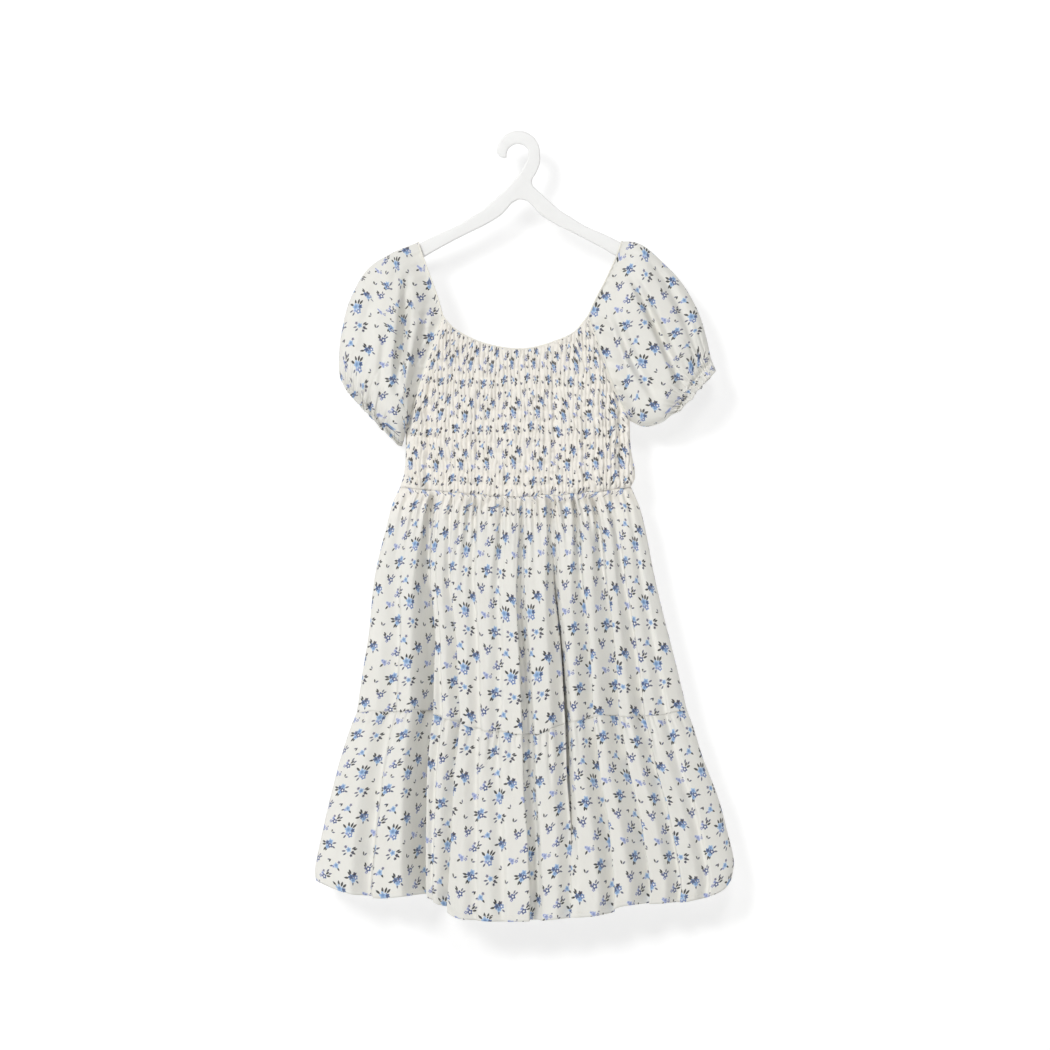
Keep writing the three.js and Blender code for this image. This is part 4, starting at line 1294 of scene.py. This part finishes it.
def cotton(settings, kind):
    """The printed cotton, the gathered cotton that takes on the shirring's two tones at the waist, or
    the shirred cotton."""
    plain = (rgba(settings.ground), rgba(settings.ground_shade))
    shirred = (rgba(settings.shirred), rgba(settings.shirred_shade))
    looks = {
        "printed": (*plain, 0.55),
        "gathered": (*plain, 0.55, 0.43, shirred),
        "shirred": (*shirred, 0.4, 0.64),
    }
    return material_named(f"{kind} cotton", cotton_material, printed_cloth(), *looks[kind])


def declare(piece, node):
    """Hides the imported solid that a piece replaces."""
    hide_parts(node)


# Grids and rows that the sewing follows, by piece
EDGES = {}


class DRESS_OT_bodice(bpy.types.Operator):
    """Front and back of the shirred bodice"""

    bl_idname = "dress.bodice"
    bl_label = "Bodice"

    def execute(self, context):
        settings = context.scene.dress
        for side, face in SIDES:
            name = f"bodice_{face}"
            points, cloth, row = bodice_grid(side, 330, 124)
            material = cotton(settings, "shirred")
            piece = cloth_piece(points, cloth, side, f"{name}_cloth", material, settings.thickness)
            declare(piece, name)
            EDGES[name] = (points, row)
        return {"FINISHED"}


class DRESS_OT_sleeves(bpy.types.Operator):
    """The two puff sleeves"""

    bl_idname = "dress.sleeves"
    bl_label = "Sleeves"

    def execute(self, context):
        settings = context.scene.dress
        for number, (hand, shape) in enumerate(SLEEVES.items()):
            name = f"sleeve_{hand}"
            look = (f"{name}_cloth", cotton(settings, "printed"), settings.thickness)
            piece, EDGES[name] = sleeve_piece(shape, *look, 104, 66, 70 + 9 * number)
            declare(piece, name)
        return {"FINISHED"}


class DRESS_OT_skirt(bpy.types.Operator):
    """Upper tier and flounce, front and back"""

    bl_idname = "dress.skirt"
    bl_label = "Skirt"

    def execute(self, context):
        settings = context.scene.dress
        upper = 1.0 - (1.0 - np.linspace(0.0, 1.0, 85)) ** 1.12
        lower = 1.0 + np.linspace(0.0, 1.0, 83) ** 1.1
        kinds = (("skirt", upper, "gathered"), ("flounce", lower, "printed"))
        for (side, face), folds in zip(SIDES, (FRONT_FOLDS, BACK_FOLDS)):
            for tier, levels, kind in kinds:
                name = f"{tier}_{face}"
                seed = 100 + 10 * side + len(tier)
                points, cloth = skirt_grid(side, tier, folds, levels, settings.columns, seed)
                look = (f"{name}_cloth", cotton(settings, kind), settings.thickness)
                piece = cloth_piece(points, cloth, side, *look)
                declare(piece, name)
                EDGES[name] = points
        return {"FINISHED"}


# Sewing in millimetres: radius of the thread in stitches and at the armhole seams; pitch, length and
# lift of the elastic rows' stitches and of the hem's
THREAD_RADIUS, SEAM_RADIUS = 0.28, 0.75
ELASTIC_ROWS = range(1, 14)
ELASTIC_STITCH, HEM_STITCH = (5.0, 2.2, 0.1), (3.6, 2.3, 0.05)


class DRESS_OT_sewing(bpy.types.Operator):
    """Rolled neck edge, elastic threads and stitches"""

    bl_idname = "dress.sewing"
    bl_label = "Sewing"

    def execute(self, context):
        cream = material_named("cream thread", thread_material, rgba(context.scene.dress.thread))
        for _, face in SIDES:
            points, _ = EDGES[f"bodice_{face}"]
            for column, hand in ((0, "left"), (-1, "right")):
                count = int(ARMHOLE_SHARE[hand] * (len(points) - 1))
                seam = resample(points[:count, column], 2.0)
                radii = np.full(len(seam), SEAM_RADIUS)
                cord = tube_along(seam, radii, 8, f"armhole_seam_{face}_{hand}", cream)
        loop = resample(neckline(), 1.6)
        smoothed = (np.roll(loop, 2, axis=0) + 2 * np.roll(loop, 1, axis=0) + 3 * loop) / 9
        smoothed += (np.roll(loop, -2, axis=0) + 2 * np.roll(loop, -1, axis=0)) / 9
        pucker = 0.85 + 0.16 * np.sin(np.arange(len(loop)) * 1.9)
        tube_along(smoothed, pucker, 10, "neck_roll", cream, closed=True)

        rows = []
        for side, face in SIDES:
            points, row = EDGES[f"bodice_{face}"]
            paths = [(row_path(points, row, value)[12:-12], ELASTIC_STITCH) for value in ELASTIC_ROWS]
            paths = [(path, stitch) for path, stitch in paths if len(path) > 20]
            ahead = np.array([0.0, side, 0.0])
            for path, (pitch, length, lift) in [*paths, (EDGES[f"flounce_{face}"][-3][4:-4], HEM_STITCH)]:
                first, last = stitch_line(path, pitch, length, ahead * lift)
                rows.append((first, last, np.broadcast_to(ahead, first.shape)))
        lines = [np.concatenate(values) for values in zip(*rows)]
        stitches(*lines, THREAD_RADIUS, "thread_rows", cream)
        return {"FINISHED"}


class DRESS_OT_hanger(bpy.types.Operator):
    """The moulded hanger: its outline carried through a rounded edge from front to back"""

    bl_idname = "dress.hanger"
    bl_label = "Hanger"

    def execute(self, context):
        settings = context.scene.dress_hanger
        ring = hanger_outline()
        ahead = unit(np.roll(ring, -1, axis=0) - np.roll(ring, 1, axis=0))
        inward = np.stack([ahead[:, 1], -ahead[:, 0]], axis=-1)
        radius = settings.rounding / MM
        turns = np.linspace(0.0, 0.5 * np.pi, 7)
        insets = radius * (1.0 - np.sin(turns))
        depths = HANGER_THICKNESS / 2 - radius + radius * np.cos(turns)
        layers = [*zip(insets, -depths), *zip(insets[::-1], depths[::-1])]
        flats = [ring + inward * inset for inset, _ in layers]
        points = np.concatenate([np.insert(flat, 1, y, axis=1) for flat, (_, y) in zip(flats, layers)])
        numbers = np.arange(len(points)).reshape(len(layers), len(ring))
        quads = cells(closed_rings(numbers)).reshape(-1, 4)
        mesh = bpy.data.meshes.new("hanger_moulding")
        faces = [*quads.tolist(), numbers[0][::-1].tolist(), numbers[-1].tolist()]
        mesh.from_pydata((points * MM).tolist(), [], faces)
        mesh.polygons.foreach_set("use_smooth", np.ones(len(mesh.polygons), dtype=bool))
        plastic = material_named("white plastic", plastic_material, rgba(settings.color))
        declare(link(mesh, "hanger_moulding", plastic), "hanger")
        return {"FINISHED"}


# Studio in metres: half its width, the floor's height, the wall's place behind the dress, what the
# camera looks at and how wide a view it takes there
STUDIO_SIZE, FLOOR_HEIGHT, WALL_PLACE = 4.0, -0.96, 0.037
VIEW_MIDDLE, VIEW_WIDTH = np.array([0.006, 0.0, -0.381]), 1.05
SENSOR_WIDTH = 36.0


class DRESS_OT_studio(bpy.types.Operator):
    """Floor, backdrop, lights and camera"""

    bl_idname = "dress.studio"
    bl_label = "Studio"

    def execute(self, context):
        settings = context.scene.dress_studio
        camera = bpy.data.cameras.new("camera")
        camera.sensor_width = SENSOR_WIDTH
        camera.lens = SENSOR_WIDTH * settings.distance / VIEW_WIDTH
        viewer = self.placed("camera", camera)
        viewer.location = VIEW_MIDDLE - np.array([0.0, settings.distance, 0.0])
        viewer.rotation_euler = (math.radians(90.0), 0.0, 0.0)
        context.scene.camera = viewer
        context.scene.view_settings.view_transform = "Standard"

        far, low, wall = STUDIO_SIZE, FLOOR_HEIGHT, WALL_PLACE
        floor = [(-far, -far, low), (far, -far, low), (far, far, low), (-far, far, low)]
        backdrop = [(-far, wall, low), (far, wall, low), (far, wall, far), (-far, wall, far)]
        self.plane("floor", floor, floor_material())
        self.plane("backdrop", backdrop, backdrop_material())

        self.light("key", (-3.6, -6.4, 3.0), settings.key, 2.0)
        self.light("above", (0.3, -3.3, 1.5), settings.above, 1.0)
        self.light("behind", (2.1, 2.2, 1.0), settings.back, 1.4)
        world = bpy.data.worlds.new("even light")
        world.use_nodes = True
        background = world.node_tree.nodes["Background"]
        background.inputs["Color"].default_value = (1.0, 1.0, 1.0, 1.0)
        background.inputs["Strength"].default_value = settings.sky
        context.scene.world = world
        return {"FINISHED"}

    def placed(self, name, data):
        made = bpy.data.objects.new(name, data)
        bpy.context.scene.collection.objects.link(made)
        return made

    def plane(self, name, corners, material):
        mesh = bpy.data.meshes.new(name)
        mesh.from_pydata(corners, [], [(0, 1, 2, 3)])
        mesh.materials.append(material)
        self.placed(name, mesh)

    def light(self, name, place, power, size):
        """A round area light that faces the middle of the view."""
        lamp = bpy.data.lights.new(name, "AREA")
        lamp.energy = power
        lamp.shape = "DISK"
        lamp.size = size
        made = self.placed(name, lamp)
        made.location = place
        aim = unit(VIEW_MIDDLE - np.asarray(place))
        made.rotation_euler = (math.acos(-aim[2]), 0.0, math.atan2(aim[1], aim[0]) - math.pi / 2.0)


class DRESS_PT_panel(bpy.types.Panel):
    """Lists the pieces of the dress and the studio"""

    bl_idname = "DRESS_PT_panel"
    bl_label = "Dress"
    bl_space_type = "VIEW_3D"
    bl_region_type = "UI"
    bl_category = "Dress"

    def draw(self, context):
        for group in (context.scene.dress, context.scene.dress_hanger, context.scene.dress_studio):
            box = self.layout.box()
            for name in group.bl_rna.properties.keys():
                if name not in ("rna_type", "name"):
                    box.prop(group, name)
        for operator in OPERATORS:
            self.layout.operator(operator.bl_idname)


OPERATORS = (
    DRESS_OT_studio,
    DRESS_OT_hanger,
    DRESS_OT_bodice,
    DRESS_OT_sleeves,
    DRESS_OT_skirt,
    DRESS_OT_sewing,
)
CLASSES = (DressSettings, HangerSettings, StudioSettings, *OPERATORS, DRESS_PT_panel)


def register():
    for made in CLASSES:
        bpy.utils.register_class(made)
    bpy.types.Scene.dress = bpy.props.PointerProperty(type=DressSettings)
    bpy.types.Scene.dress_hanger = bpy.props.PointerProperty(type=HangerSettings)
    bpy.types.Scene.dress_studio = bpy.props.PointerProperty(type=StudioSettings)


def unregister():
    del bpy.types.Scene.dress_studio
    del bpy.types.Scene.dress_hanger
    del bpy.types.Scene.dress
    for made in reversed(CLASSES):
        bpy.utils.unregister_class(made)


def main():
    register()
    for name in ("studio", "hanger", "bodice", "sleeves", "skirt", "sewing"):
        getattr(bpy.ops.dress, name)()


if __name__ == "__main__":
    main()
